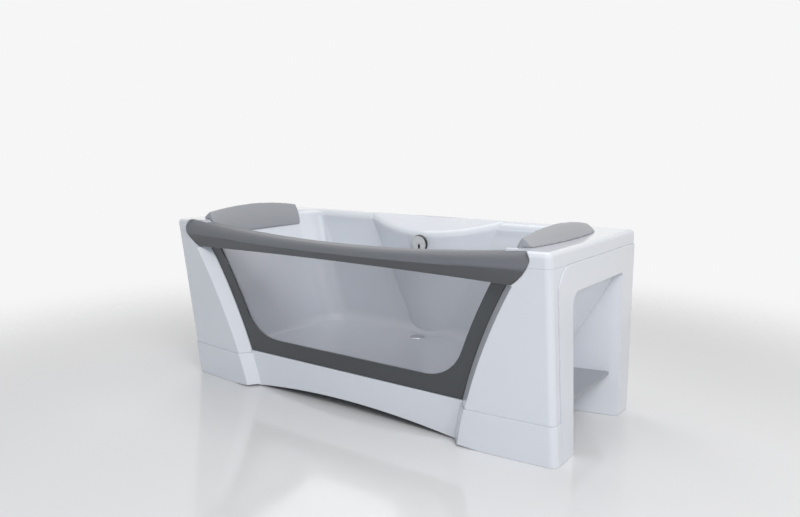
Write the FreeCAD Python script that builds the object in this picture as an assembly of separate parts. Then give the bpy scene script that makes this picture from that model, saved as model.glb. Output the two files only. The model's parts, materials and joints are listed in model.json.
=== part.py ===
import FreeCAD, Part
import math
import os

# Free-standing acrylic bathtub with a glass front, two open portal ends and a hand rail.
# Millimetres, +Z up. X runs along the bath, the glass front faces -Y and the rear plane is at +Y.
# The origin is under the middle of the bath, on the floor.
# Depths are measured forward from the rear plane.

V = FreeCAD.Vector

# Whole bath
bath_length = 1700.0
bath_depth = 740.0
rim_height = 687.0
floor_gap = 0.5
overrun = 40.0
touch = 0.3

# Walls
shell_wall = 6.0
panel_wall = 5.0
plinth_wall = 8.0
plinth_proud = 4.0
step_out = 4.0

# Leaning and bowed front
corner_setback = 99.0
lean_share = 0.1305
front_bow = 40.0
corner_round = 24.0
rim_band_height = 50.0
rim_round = 16.0
rear_top_round = 4.0

# Recess between the pillars
edge_inset_low = 351.0
edge_inset_middle = 241.0
edge_inset_high = 53.0
edge_bow = 15.0
bevel_width = 37.0
bevel_depth = 44.0
recess_top = 577.0

# Plinth
plinth_height = 141.0
centre_plinth_height = 152.0
arch_inset = 342.0
arch_rise = 37.0
toe_inset = 259.0
toe_rise = 26.0
contour_setback = 45.0

# Basin
basin_floor = 185.0
floor_inset = 322.0
rim_inset = 132.0
back_depth_low = 80.0
back_depth_high = 62.0
basin_front_setback = 140.0
window_lean_share = 0.103
rear_corner_low = 95.0
rear_corner_high = 110.0
front_corner_low = 60.0
front_corner_high = 30.0
floor_round_rear = 50.0
floor_round_front = 22.0
lip_round = 32.0
front_wall_top = 612.0
window_flange_overlap = 12.0
window_flange_low = 154.0

# Bay with the overflow, and the tap deck above it
bay_half_low = 74.0
bay_half_high = 334.0
bay_front_low = 95.0
bay_front_high = 155.0
bay_back_depth = 18.0
deck_start_depth = 14.0
deck_end_depth = 130.0
deck_drop = 49.0
deck_reach_half = 450.0
deck_reach_rise = 26.0
deck_front_depth = 165.0
deck_lip_round = 30.0
bay_hollow_low = 205.0

# Window
gasket_thickness = 4.0
glass_thickness = 8.0
bezel_thickness = 6.0
frame_gap = 1.5
frame_return = 6.0
frame_low = 153.0
frame_high = 596.0
glass_gap = 1.5
glass_high = 604.0
band_side = 55.0
clear_low = 217.0
clear_corner_reach = 118.0
flange_reveal = 8.0
gasket_width = 26.0

# Top rail
rail_inset = 30.0
rail_top_middle = 643.0
rail_top_end = 692.0
rail_low_middle = 584.0
rail_low_end = 577.0
rail_crown_setback = 34.0
rail_foot_setback = 30.0
rail_foot_setback_end = 17.0
rail_crease_share = 0.5
rail_foot_low = 568.0
rail_foot_inset = 150.0
rail_edge_inset = 93.0
rail_tip_low = 660.0
rail_tip_inset = 68.0
rail_shoulder_inset = 77.5
rail_shoulder_low = 681.5
rail_nose_inset = 105.0
rail_nose_high = 690.5
rail_end_setback = 34.0
rail_main_inset = 162.0
rail_gap = 0.5
rail_bar_width = 24.0
rail_bar_height = 8.0
rail_bar_inset = 170.0
rail_bar_setback = 54.0
rail_bar_low = 618.0
rail_bolt_radius = 4.0
rail_bolt_head_radius = 7.0
rail_bolt_head_height = 4.0
rail_bolt_count = 5
rail_bolt_inset = 250.0

# End panels with their niches
niche_front_low_setback = 232.0
niche_front_high_setback = 179.0
niche_rear_low_depth = 94.0
niche_rear_high_depth = 112.0
niche_high = 544.0
niche_front_reach = 45.0
niche_rear_reach = 14.0
niche_inner_inset = 230.0
niche_draft_rear = 49.0
niche_draft_front = 20.0
soffit_low_inset = 226.0
soffit_low_height = 170.0
soffit_run_share = 0.55
liner_wall = 4.0
contour_chamfer_low = 573.0
contour_chamfer_setback = 132.0
contour_chamfer_bulge = 6.0

# Shelves and their pins
shelf_top = 170.0
shelf_thickness = 7.0
shelf_outer_inset = 32.0
shelf_inner_inset = 210.0
shelf_gap = 1.5
shelf_corner_round = 12.0
shelf_pin_radius = 4.0
shelf_pin_reach = 12.0
shelf_pin_outer_inset = 60.0
shelf_pin_inner_inset = 185.0

# Rear panel and hatch
rear_panel_thickness = 4.0
hatch_half = 190.0
hatch_low = 60.0
hatch_high = 420.0
hatch_gap = 1.0
hatch_lap = 14.0
hatch_thickness = 3.0

# Headrests
pad_rear_depth = 148.0
pad_front_setback = 82.0
pad_clearance = 0.3
pad_back_inset = 67.0
pad_back_inset_end = 82.0
pad_ridge_inset = 130.0
pad_inner_inset = 162.0
pad_inner_inset_end = 160.0
pad_low = 621.0
pad_ridge_height = 736.5
pad_ridge_end_height = 716.0
pad_back_bulge = 12.0
pad_back_bulge_end = 5.0
pad_front_bulge = 7.0
pad_pin_inset = 88.0
pad_pin_rear_depth = 305.0
pad_pin_front_setback = 215.0
pad_pin_radius = 4.0
pad_pin_above = 18.0
pad_pin_below = 22.0
pin_fit = 0.06
grommet_radius = 7.0
grommet_flange_radius = 10.0
grommet_flange_height = 2.0

# Steel support frame
rail_tube_height = 40.0
rail_tube_depth = 30.0
tube_wall = 2.5
frame_rear_depth = 50.0
frame_front_setback = 150.0
frame_inset = 67.5
cross_tube_width = 40.0
cross_inner_half = 170.0
cross_outer_inset = 420.0
board_thickness = 18.0
board_inset = 390.0
board_rear_depth = 160.0
board_front_setback = 160.0
board_notch_radius = 48.0
upright_size = 25.0
upright_inset = 80.0
bracket_width = 60.0
bracket_thickness = 4.0
frame_bolt_radius = 4.0
frame_bolt_head_radius = 7.0
frame_bolt_head_height = 5.0

# Levelling feet
foot_inset = 150.0
foot_pad_radius = 25.0
foot_pad_height = 14.0
foot_pad_socket = 6.0
foot_stud_radius = 6.0
foot_stud_top = 150.0
foot_nut_radius = 10.0
foot_nut_height = 10.0
thread_fit = 0.06

# Waste, plug and trap
waste_depth = 168.0
waste_hole_radius = 27.0
waste_flange_radius = 35.0
waste_flange_height = 3.0
waste_tail_wall = 2.5
waste_tail_length = 20.0
waste_tail_gap = 0.5
waste_body_radius = 35.0
waste_body_low = 118.0
waste_body_wall = 3.0
waste_seal_radius = 34.0
waste_seal_height = 3.0
plug_radius = 24.0
plug_height = 4.0
plug_stem_radius = 4.0
plug_stem_low = 132.0
plug_seal_height = 1.5
hub_radius = 8.0
hub_height = 10.0
web_width = 4.0
trap_nut_radius = 27.0
trap_nut_height = 16.0
trap_radius = 38.0
trap_low = 26.0
trap_wall = 3.0
trap_branch_length = 9.0
pipe_radius = 20.0
pipe_wall = 2.5
outlet_height = 50.0

# Overflow
overflow_height = 586.0
overflow_hole_radius = 26.0
collar_radius = 33.0
collar_height = 4.0
collar_tube_wall = 2.5
knob_radius = 37.0
knob_height = 13.0
knob_wall = 3.0
knob_standoff = 2.0
knob_grip_radius = 5.0
knob_shaft_radius = 4.0
knob_shaft_tail = 10.0
elbow_radius = 32.0
elbow_wall = 3.0
elbow_seal_height = 3.0
elbow_reach = 44.0
elbow_socket_depth = 12.0
drop_pipe_radius = 14.0
drop_pipe_wall = 2.0
drop_pipe_depth = 40.0
drop_pipe_low = 142.0
drop_pipe_bend = 28.0
drop_pipe_start = 42.0
drop_pipe_slant = 168.0
drop_pipe_fit = 0.03
cable_radius = 3.0
cable_side = 22.0
cable_boss_wall = 4.0
cable_boss_length = 20.0
elbow_boss_length = 30.0

# Screws
panel_screw_radius = 2.5
panel_screw_head_radius = 5.0
panel_screw_head_height = 2.5

rear = bath_depth / 2
half_length = bath_length / 2

# Places along the bath, kept from its ends
edge_half_low = half_length - edge_inset_low
edge_half_middle = half_length - edge_inset_middle
edge_half_high = half_length - edge_inset_high
arch_half = half_length - arch_inset
toe_half = half_length - toe_inset
floor_half_length = half_length - floor_inset
rim_half_length = half_length - rim_inset
rail_half = half_length - rail_inset
rail_foot_half = half_length - rail_foot_inset
rail_edge_half = half_length - rail_edge_inset
rail_tip_half = half_length - rail_tip_inset
rail_shoulder_half = half_length - rail_shoulder_inset
rail_nose_half = half_length - rail_nose_inset
rail_main_half = half_length - rail_main_inset
rail_bar_half = half_length - rail_bar_inset
niche_inner_half = half_length - niche_inner_inset
soffit_low_half = half_length - soffit_low_inset
shelf_outer_half = half_length - shelf_outer_inset
shelf_inner_half = half_length - shelf_inner_inset
shelf_pin_outer = half_length - shelf_pin_outer_inset
shelf_pin_inner = half_length - shelf_pin_inner_inset
pad_back_half = half_length - pad_back_inset
pad_back_half_end = half_length - pad_back_inset_end
pad_ridge_half = half_length - pad_ridge_inset
pad_inner_half = half_length - pad_inner_inset
pad_inner_half_end = half_length - pad_inner_inset_end
pad_pin_half = half_length - pad_pin_inset
frame_half_length = half_length - frame_inset
board_half_length = half_length - board_inset
upright_half = half_length - upright_inset
foot_half = half_length - foot_inset
cross_half_places = (cross_inner_half, half_length - cross_outer_inset)
rail_bolt_pitch = 2 * (half_length - rail_bolt_inset) / (rail_bolt_count - 1)

# Places across the bath, kept from its front
corner_depth = bath_depth - corner_setback
basin_front_depth = bath_depth - basin_front_setback
rail_end_depth = bath_depth - rail_end_setback
rail_bar_depth = bath_depth - rail_bar_setback
niche_front_low_depth = bath_depth - niche_front_low_setback
niche_front_high_depth = bath_depth - niche_front_high_setback
contour_chamfer_depth = bath_depth - contour_chamfer_setback
pad_front_depth = bath_depth - pad_front_setback
frame_front_depth = bath_depth - frame_front_setback
board_front_depth = bath_depth - board_front_setback
pad_pin_depths = (pad_pin_rear_depth, bath_depth - pad_pin_front_setback)

# Places that follow from the walls and the stacked pieces
rim_half = half_length - step_out
band_low = rim_height - rim_band_height
window_depth = (basin_front_depth + shell_wall + gasket_thickness
                + glass_thickness + bezel_thickness)
bevel_run_share = bevel_width / bevel_depth
bevel_slant_share = math.hypot(bevel_width, bevel_depth) / bevel_depth
rim_under = rim_height - shell_wall
floor_under = basin_floor - shell_wall
board_low = floor_under - board_thickness
cross_low = board_low - cross_tube_width
rail_tube_low = cross_low - rail_tube_height
deck_slope_share = deck_drop / (deck_end_depth - deck_start_depth)

doc = FreeCAD.newDocument("bath")


def yd(depth):
    return rear - depth


def line(a, b):
    return Part.LineSegment(a, b).toShape()


def arc(a, b, c):
    return Part.Arc(a, b, c).toShape()


def polygon(points):
    return Part.makePolygon(points + [points[0]])


def face(wire):
    return Part.Face(wire)


def box(x0, x1, depth0, depth1, z0, z1):
    corner = V(x0, yd(depth1), z0)
    return Part.makeBox(x1 - x0, depth1 - depth0, z1 - z0, corner)


def rod(start, direction, radius, length):
    return Part.makeCylinder(radius, length, start, direction)


def tube(start, direction, radius, wall, length):
    return rod(start, direction, radius, length).cut(rod(start, direction, radius - wall, length))


def hexagon(centre, radius, height):
    points = []
    for step in range(6):
        angle = math.pi * step / 3
        points.append(centre + V(radius * math.cos(angle), radius * math.sin(angle), 0))
    return face(polygon(points)).extrude(V(0, 0, height))


def mirrored(shape):
    return shape.mirror(V(0, 0, 0), V(1, 0, 0))


def both(shape):
    return Part.makeCompound([shape, mirrored(shape)])


def fuse_all(shapes):
    return shapes[0].multiFuse(shapes[1:]).removeSplitter()


def blend_edges(shape, radii_of):
    # Rounds every edge that radii_of gives a start and an end radius.
    base = doc.addObject("Part::Feature", "base")
    base.Shape = shape
    rounding = doc.addObject("Part::Fillet", "rounding")
    rounding.Base = base
    picks = []
    for number, edge in enumerate(shape.Edges, start=1):
        radii = radii_of(edge)
        if radii:
            picks.append((number, radii[0], radii[1]))
    rounding.Edges = picks
    doc.recompute()
    return rounding.Shape.copy()


def ends_of(edge):
    return edge.valueAt(edge.FirstParameter), edge.valueAt(edge.LastParameter)


def level_at(edge, height):
    return all(abs(vertex.Z - height) < touch for vertex in edge.Vertexes)


def quadratic(low, middle, high, share):
    # Curve through three values at shares 0, one half and 1.
    return (low * (1 - share) * (1 - 2 * share)
            + 4 * middle * share * (1 - share)
            + high * share * (2 * share - 1))


def corner_depth_at(z):
    return corner_depth + lean_share * z


def plane_depth_at(base, z):
    return base + window_lean_share * z


def edge_half(z):
    # Half width of the recess between the pillars, seen from the front.
    return quadratic(edge_half_low, edge_half_middle, edge_half_high, z / rim_height)


def frame_half(z):
    # Half width of the recess where its bevelled side reaches the window plane.
    ahead = corner_depth_at(z) + edge_bow - plane_depth_at(window_depth, z)
    return edge_half(z) - bevel_run_share * ahead


def three_heights(low, high):
    return low, (low + high) / 2, high


def sheet(segments, front, thickness):
    # Plate on the leaning window plane; segments are lists of 2 or 3 front-view points.
    edges = []
    for segment in segments:
        places = [V(x, yd(plane_depth_at(front, z)), z) for x, z in segment]
        if len(places) == 2:
            edges.append(line(*places))
        else:
            edges.append(arc(*places))
    return face(Part.Wire(edges)).extrude(V(0, thickness, 0))


def rounded_corner(before, corner, after, reach):
    # Start, middle and end of the arc that rounds a corner of an outline.
    to_before = V(before[0] - corner[0], before[1] - corner[1], 0)
    to_after = V(after[0] - corner[0], after[1] - corner[1], 0)
    half_angle = to_before.getAngle(to_after) / 2
    to_before.normalize()
    to_after.normalize()
    centre_line = to_before + to_after
    centre_line.normalize()
    radius = reach * math.tan(half_angle)
    sag = radius / math.sin(half_angle) - radius
    place = V(corner[0], corner[1], 0)
    spots = (place + to_before * reach, place + centre_line * sag, place + to_after * reach)
    return [(spot.x, spot.y) for spot in spots]


def front_prism(inset, z0, z1):
    # Everything behind the bowed, leaning front, between two heights.
    depth = corner_depth_at(z0) - inset
    reach = bath_length
    bow = front_bow * (reach / half_length) ** 2
    left = V(-reach, yd(depth - bow + front_bow), z0)
    middle = V(0, yd(depth + front_bow), z0)
    right = V(reach, yd(depth - bow + front_bow), z0)
    back_right = V(reach, yd(-bath_depth), z0)
    back_left = V(-reach, yd(-bath_depth), z0)
    edges = [arc(left, middle, right), line(right, back_right),
             line(back_right, back_left), line(back_left, left)]
    rise = z1 - z0
    return face(Part.Wire(edges)).extrude(V(0, -lean_share * rise, rise))


def outer_form(inset, half, z0, z1, rear_inset):
    # Upright block of the bath's outline with the leaning front.
    block = box(-half + inset, half - inset, rear_inset, bath_depth + overrun, z0, z1)
    return block.common(front_prism(inset, z0, z1))


def round_front_corners(shape, half, radius):
    def radii(edge):
        a, b = ends_of(edge)
        upright = abs(a.z - b.z) > rim_band_height / 2
        at_end = abs(abs(a.x) - half) < touch and abs(abs(b.x) - half) < touch
        if upright and at_end and max(a.y, b.y) < 0:
            return radius, radius
        return None
    return blend_edges(shape, radii)


def recess_prism(grow, z0, z1):
    # Space between the bevelled sides of the two pillars.
    def spot(side, z):
        half = edge_half(z) + grow * bevel_slant_share
        return V(side * half, yd(corner_depth_at(z) + edge_bow), z)
    low, middle, high = three_heights(z0, z1)
    right = arc(spot(1, low), spot(1, middle), spot(1, high))
    left = arc(spot(-1, high), spot(-1, middle), spot(-1, low))
    outline = face(Part.Wire([right, line(spot(1, high), spot(-1, high)),
                              left, line(spot(-1, low), spot(1, low))]))
    # Each half follows its own bevel; the middle is plain.
    reach = 3 * bevel_depth
    run = bevel_run_share * reach
    right_box = box(0, bath_length, -bath_depth, 2 * bath_depth, z0 - overrun, z1 + overrun)
    half_outline = outline.common(right_box)
    backward = half_outline.extrude(V(-run, reach, 0))
    forward = half_outline.extrude(V(run, -reach, 0))
    side = backward.fuse(forward)
    core = box(-edge_half_low + 2 * run / 3, edge_half_low - 2 * run / 3,
               basin_front_depth - bath_depth / 4, bath_depth + overrun, z0, z1)
    return fuse_all([side, mirrored(side), core])


def rail_outline(grow):
    # Front view of the space that the top rail fills between the pillars.
    foot, edge, tip = three_heights(rail_foot_low, rail_tip_low)
    right = [(rail_foot_half + grow, foot), (rail_edge_half + grow, edge), (rail_tip_half + grow, tip)]
    nose = [right[2], (rail_shoulder_half + grow, rail_shoulder_low + grow),
            (rail_nose_half, rail_nose_high + grow)]
    flip = lambda points: [(-x, z) for x, z in reversed(points)]
    return [right, nose, [nose[2], flip(nose)[0]], flip(nose), flip(right), [flip(right)[2], right[0]]]


def upright_prism(segments, depth0, depth1):
    edges = []
    for segment in segments:
        places = [V(x, yd(depth1), z) for x, z in segment]
        if len(places) == 2:
            edges.append(line(*places))
        else:
            edges.append(arc(*places))
    return face(Part.Wire(edges)).extrude(V(0, depth1 - depth0, 0))


def rail_space(grow, low):
    # The rail's ends reach back less than its middle, which stands on the basin's front wall.
    far = bath_depth + overrun
    ends = upright_prism(rail_outline(grow), rail_end_depth - grow, far)
    middle = upright_prism(rail_outline(grow), basin_front_depth - overrun, far)
    span = box(-rail_main_half - grow, rail_main_half + grow, 0, far, low - overrun,
               rim_height + overrun)
    wall_side = sheet([[(-bath_length, 0), (bath_length, 0)],
                       [(bath_length, 0), (bath_length, bath_depth)],
                       [(bath_length, bath_depth), (-bath_length, bath_depth)],
                       [(-bath_length, bath_depth), (-bath_length, 0)]],
                      basin_front_depth - grow, bath_depth)
    whole = ends.fuse(middle.common(span).cut(wall_side))
    return whole.common(box(-bath_length, bath_length, -overrun, far, low - grow,
                            rim_height + overrun))


def basin_section(z, grow):
    share = (z - basin_floor) / (rim_height - basin_floor)
    half = floor_half_length + (rim_half_length - floor_half_length) * share + grow
    back = back_depth_low + (back_depth_high - back_depth_low) * share - grow
    front = plane_depth_at(basin_front_depth, z) + grow
    rear_radius = rear_corner_low + (rear_corner_high - rear_corner_low) * share + grow
    front_radius = front_corner_low + (front_corner_high - front_corner_low) * share + grow
    edges = []
    last = None
    first = None
    corners = ((half - rear_radius, yd(back) - rear_radius, rear_radius, 0),
               (-half + rear_radius, yd(back) - rear_radius, rear_radius, 1),
               (-half + front_radius, yd(front) + front_radius, front_radius, 2),
               (half - front_radius, yd(front) + front_radius, front_radius, 3))
    for x, y, radius, quarter in corners:
        spots = []
        for part in (0, 1, 2):
            angle = math.pi / 2 * (quarter + part / 2)
            spots.append(V(x + radius * math.cos(angle), y + radius * math.sin(angle), z))
        if last is not None:
            edges.append(line(last, spots[0]))
        else:
            first = spots[0]
        edges.append(arc(*spots))
        last = spots[2]
    edges.append(line(last, first))
    return Part.Wire(edges)


def air_form(grow):
    # The air inside the basin and above the rim, grown outward by a wall.
    top = rim_height - grow
    low = basin_floor - grow
    hollow = Part.makeLoft([basin_section(low, grow), basin_section(top, grow)], True, True)
    above = Part.makeBox(2 * bath_length, 2 * bath_depth, rim_height,
                         V(-bath_length, -bath_depth, top))
    joined = hollow.fuse(above).removeSplitter()
    rear_radius = floor_round_rear + grow
    front_radius = floor_round_front + grow

    def radii(edge):
        a, b = ends_of(edge)
        if level_at(edge, top) and abs(a.x) < half_length and abs(a.y) < rear:
            return lip_round - grow, lip_round - grow
        if not level_at(edge, low):
            return None
        if a.y > 0 and b.y > 0:
            return rear_radius, rear_radius
        if a.y < 0 and b.y < 0:
            return front_radius, front_radius
        if a.y > b.y:
            return rear_radius, front_radius
        return front_radius, rear_radius
    return blend_edges(joined, radii)


def bay_section(z, inset, back):
    share = (z - basin_floor) / (rim_height - basin_floor)
    half = bay_half_low + (bay_half_high - bay_half_low) * share - inset
    front = bay_front_low + (bay_front_high - bay_front_low) * share - inset
    side = back_depth_low + (back_depth_high - back_depth_low) * share - inset
    points = [V(-half, yd(back), z), V(-half, yd(side), z), V(0, yd(front), z),
              V(half, yd(side), z), V(half, yd(back), z)]
    return Part.Wire([line(points[0], points[1]), arc(points[1], points[2], points[3]),
                      line(points[3], points[4]), line(points[4], points[0])])


def bay_form(inset, low, back):
    high = rim_height + overrun
    return Part.makeLoft([bay_section(low, inset, back), bay_section(high, inset, back)],
                         True, True)


def above_deck(drop):
    # Air above the tap deck, which slopes forward and fades out to both sides.
    middle_z = rim_height - drop
    side_z = middle_z + deck_reach_rise
    left = V(-deck_reach_half, yd(deck_start_depth), side_z)
    right = V(deck_reach_half, yd(deck_start_depth), side_z)
    rise = V(0, 0, bath_depth)
    outline = Part.Wire([arc(left, V(0, yd(deck_start_depth), middle_z), right),
                         line(right, right + rise), line(right + rise, left + rise),
                         line(left + rise, left)])
    fall = V(0, -bath_depth, -bath_depth * deck_slope_share)
    start = outline.translated(fall * -1)
    air = face(start).extrude(fall * 2)
    return air.common(box(-deck_reach_half, deck_reach_half, -overrun, deck_front_depth,
                          0, 2 * bath_depth))


def overflow_axis():
    # Points out of the bay's front face, into the basin.
    slope = (bay_front_high - bay_front_low) / (rim_height - basin_floor)
    axis = V(0, -1, -slope)
    axis.normalize()
    return axis


def overflow_point():
    share = (overflow_height - basin_floor) / (rim_height - basin_floor)
    depth = bay_front_low + (bay_front_high - bay_front_low) * share
    return V(0, yd(depth), overflow_height)


def basin_shell(air):
    tall = outer_form(0, rim_half, floor_under - overrun, rim_height, 0)
    tall = round_front_corners(tall, rim_half, corner_round)
    tall = round_rim(tall, 0)
    hollow = outer_form(shell_wall, rim_half, band_low - overrun, rim_under, shell_wall)
    hollow = round_front_corners(hollow, rim_half - shell_wall, corner_round - shell_wall)
    hollow = round_rim(hollow, shell_wall)
    hollow = hollow.cut(rail_space(rail_gap + shell_wall, front_wall_top + rail_gap))
    band_box = box(-bath_length, bath_length, -bath_depth, 2 * bath_depth,
                   band_low, rim_height + overrun)
    band = tall.common(band_box).cut(hollow)
    skin = air_form(shell_wall).common(tall)
    shell = band.fuse(skin).fuse(window_flange())
    shell = shell.cut(air)
    shell = shell.cut(rail_space(rail_gap, front_wall_top + rail_gap))
    shell = shell.cut(sheet(clear_outline(flange_reveal), basin_front_depth + overrun, 2 * overrun))
    bay = bay_form(0, basin_floor, bay_back_depth)
    deck_air = above_deck(0)
    shell = shell.cut(bay)
    shell = shell.fuse(solid_bay(bay, deck_air))
    bay_hollow = bay_form(shell_wall, bay_hollow_low, shell_wall).cut(above_deck(shell_wall))
    bay_hollow = bay_hollow.cut(above_rim_under())
    shell = shell.cut(round_deck_lip(bay_hollow, deck_lip_round - shell_wall))
    axis = overflow_axis()
    shell = shell.cut(rod(overflow_point() - axis * overrun, axis, overflow_hole_radius, 2 * overrun))
    spot_face = rod(overflow_point() - axis * shell_wall, axis * -1, elbow_radius + rail_gap, overrun)
    shell = shell.cut(spot_face)
    shell = shell.cut(rod(V(0, yd(waste_depth), floor_under - overrun), V(0, 0, 1),
                          waste_hole_radius + waste_tail_gap, 2 * overrun))
    for side in (-1, 1):
        for depth in pad_pin_depths:
            shell = shell.cut(rod(V(side * pad_pin_half, yd(depth), rim_under - overrun),
                                  V(0, 0, 1), grommet_radius, 2 * overrun))
    return shell.removeSplitter()


def above_rim_under():
    # Everything above the underside of the rim.
    return box(-bath_length, bath_length, -overrun, bath_depth, rim_under, 2 * bath_depth)


def round_rim(shape, inset):
    high = rim_height - inset

    def radii(edge):
        if not level_at(edge, high):
            return None
        a, b = ends_of(edge)
        at_rear = abs(a.y - b.y) < touch and a.y > 0 and b.y > 0
        if not at_rear:
            return rim_round - inset, rim_round - inset
        if inset == 0:
            return rear_top_round, rear_top_round
        return None
    return blend_edges(shape, radii)


def round_deck_lip(shape, radius):
    # The curved edge where the deck turns down into the bay's front.
    def radii(edge):
        lowest = edge.BoundBox.ZMin
        if rim_height / 2 < lowest < rim_height - deck_drop / 2:
            return radius, radius
        return None
    return blend_edges(shape, radii)


def solid_bay(bay, deck_air):
    # The upper bay is hollowed later; its foot only fills the curve above the floor.
    wide = (-bath_length, bath_length, -overrun, bath_depth)
    upper = bay.cut(deck_air).common(box(*wide, 0, rim_height))
    upper = round_deck_lip(upper, deck_lip_round)
    upper = upper.common(box(*wide, bay_hollow_low, rim_height))
    foot = bay.common(box(*wide, 0, bay_hollow_low)).common(air_form(shell_wall))
    return upper.fuse(foot)


def window_flange():
    # Flat ground of the front wall that the glass is bonded to.
    low, middle, high = three_heights(window_flange_low, front_wall_top)
    wide = lambda z: frame_half(z) + window_flange_overlap
    right = [(wide(low), low), (wide(middle), middle), (wide(high), high)]
    left = [(-x, z) for x, z in reversed(right)]
    segments = [right, [right[2], left[0]], left, [left[2], right[0]]]
    return sheet(segments, basin_front_depth + shell_wall, shell_wall)


def clear_outline(grow):
    # See-through part of the window, with its two wide lower corners.
    half = lambda z: frame_half(z) - band_side + grow
    low = clear_low - grow
    top = recess_top + overrun
    corner = (half(low), low)
    reach = clear_corner_reach
    above = (half(low + reach), low + reach)
    start, middle, end = rounded_corner(above, corner, (0, low), reach)
    mid_z = (start[1] + top) / 2
    right = [start, (half(mid_z), mid_z), (half(top), top)]
    left = [(-x, z) for x, z in reversed(right)]
    right_corner = [end, middle, start]
    left_corner = [(-x, z) for x, z in reversed(right_corner)]
    return [right, [right[2], left[0]], left, left_corner,
            [left_corner[2], right_corner[0]], right_corner]


def frame_outline(inset, low, high):
    half = lambda z: frame_half(z) - frame_gap - inset
    low_z, middle_z, high_z = three_heights(low, high)
    right = [(half(low_z), low_z), (half(middle_z), middle_z), (half(high_z), high_z)]
    left = [(-x, z) for x, z in reversed(right)]
    return [right, [right[2], left[0]], left, [left[2], right[0]]]


def window_frame():
    full = glass_thickness + bezel_thickness + gasket_thickness
    ring = sheet(frame_outline(0, frame_low, frame_high), window_depth, full)
    pocket = sheet(frame_outline(frame_return, frame_low + frame_return, frame_high + overrun),
                   window_depth - bezel_thickness, full)
    opening = sheet(clear_outline(0), window_depth + overrun, 2 * overrun)
    return ring.cut(pocket).cut(opening)


def window_glass():
    inset = frame_return + glass_gap
    return sheet(frame_outline(inset, frame_low + inset, glass_high),
                 window_depth - bezel_thickness, glass_thickness)


def window_gasket():
    inset = frame_return + glass_gap
    outer = sheet(frame_outline(inset, frame_low + inset, glass_high),
                  basin_front_depth + shell_wall + gasket_thickness, gasket_thickness)
    opening = sheet(clear_outline(flange_reveal + gasket_width / 4), window_depth + overrun,
                    2 * overrun)
    return outer.cut(opening)


def contour_prism(x0, x1):
    # Space behind the front edge of an end panel, seen from the end.
    setback = contour_setback
    low = -overrun
    points = [V(x0, yd(corner_depth_at(low) - setback), low),
              V(x0, yd(corner_depth_at(contour_chamfer_low) - setback), contour_chamfer_low),
              V(x0, yd(contour_chamfer_depth), band_low),
              V(x0, yd(-overrun), band_low), V(x0, yd(-overrun), low)]
    middle = (points[1] + points[2]) * 0.5 + V(0, -contour_chamfer_bulge, contour_chamfer_bulge)
    edges = [line(points[0], points[1]), arc(points[1], middle, points[2]),
             line(points[2], points[3]), line(points[3], points[4]), line(points[4], points[0])]
    return face(Part.Wire(edges)).extrude(V(x1 - x0, 0, 0))


def pillar_block(inset, z0, z1):
    block = outer_form(inset, rim_half, z0, z1, 0)
    block = round_front_corners(block, rim_half - inset, corner_round - inset)
    block = block.cut(recess_prism(inset, z0 - overrun, recess_top))
    block = block.cut(rail_space(rail_gap + inset, recess_top))
    return block


def right_side(shape, start):
    return shape.common(box(start, bath_length, -bath_depth, 2 * bath_depth,
                            -bath_depth, 2 * bath_depth))


def front_pillar():
    outer = pillar_block(0, plinth_height, band_low)
    inner = pillar_block(panel_wall, plinth_height, band_low)
    wall = right_side(outer.cut(inner), 0)
    wall = wall.cut(contour_prism(pad_back_half, bath_length))
    behind = sheet([[(-bath_length, 0), (bath_length, 0)],
                    [(bath_length, 0), (bath_length, bath_depth)],
                    [(bath_length, bath_depth), (-bath_length, bath_depth)],
                    [(-bath_length, bath_depth), (-bath_length, 0)]],
                   window_depth, bath_depth)
    keep_end = box(pad_back_half, bath_length, -bath_depth, bath_depth, 0, bath_depth)
    wall = wall.cut(behind.cut(keep_end))
    return largest_solid(wall)


def largest_solid(shape):
    return sorted(shape.Solids, key=lambda solid: solid.Volume)[-1]


def arch_rod(half, rise):
    # Round rod along Y whose top gives an arch of that half width and rise on the floor.
    radius = (half ** 2 + rise ** 2) / (2 * rise)
    return rod(V(0, -bath_depth, rise - radius), V(0, 1, 0), radius, 2 * bath_depth)


def front_plinth(pillars):
    proud = front_prism(-plinth_proud, floor_gap, plinth_height)
    block = box(-half_length, half_length, 0, bath_depth + overrun, floor_gap, plinth_height)
    block = round_front_corners(block.common(proud), half_length, corner_round + plinth_proud)
    inner_half = half_length - plinth_wall
    inner = box(-inner_half, inner_half, -overrun, bath_depth + overrun, floor_gap, plinth_height)
    inner = inner.common(front_prism(plinth_wall - plinth_proud, floor_gap, plinth_height))
    inner = round_front_corners(inner, inner_half, corner_round + plinth_proud - plinth_wall)
    block = block.cut(recess_prism(-plinth_proud, -overrun, plinth_height + overrun))
    inner = inner.cut(recess_prism(plinth_wall - plinth_proud, -overrun, plinth_height + overrun))
    wall = block.cut(inner)
    wall = wall.cut(both(contour_prism(pad_back_half, bath_length)))
    face_depth = window_depth + plinth_proud
    behind = sheet([[(-pad_back_half, -overrun), (pad_back_half, -overrun)],
                    [(pad_back_half, -overrun), (pad_back_half, plinth_height + overrun)],
                    [(pad_back_half, plinth_height + overrun), (-pad_back_half, plinth_height + overrun)],
                    [(-pad_back_half, plinth_height + overrun), (-pad_back_half, -overrun)]],
                   face_depth - plinth_wall, bath_depth)
    wall = wall.cut(behind)
    half = lambda z: frame_half(z) + plinth_proud
    low_z, middle_z, high_z = three_heights(floor_gap, centre_plinth_height)
    right = [(half(low_z), low_z), (half(middle_z), middle_z), (half(high_z), high_z)]
    left = [(-x, z) for x, z in reversed(right)]
    centre = sheet([right, [right[2], left[0]], left, [left[2], right[0]]], face_depth, plinth_wall)
    in_front = box(-bath_length, bath_length, face_depth + plinth_proud, 2 * bath_depth,
                   -overrun, plinth_height)
    toes = arch_rod(toe_half, toe_rise).common(in_front)
    wall = wall.fuse(centre).cut(arch_rod(arch_half, arch_rise)).cut(toes)
    return wall.removeSplitter().cut(pillars)


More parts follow.
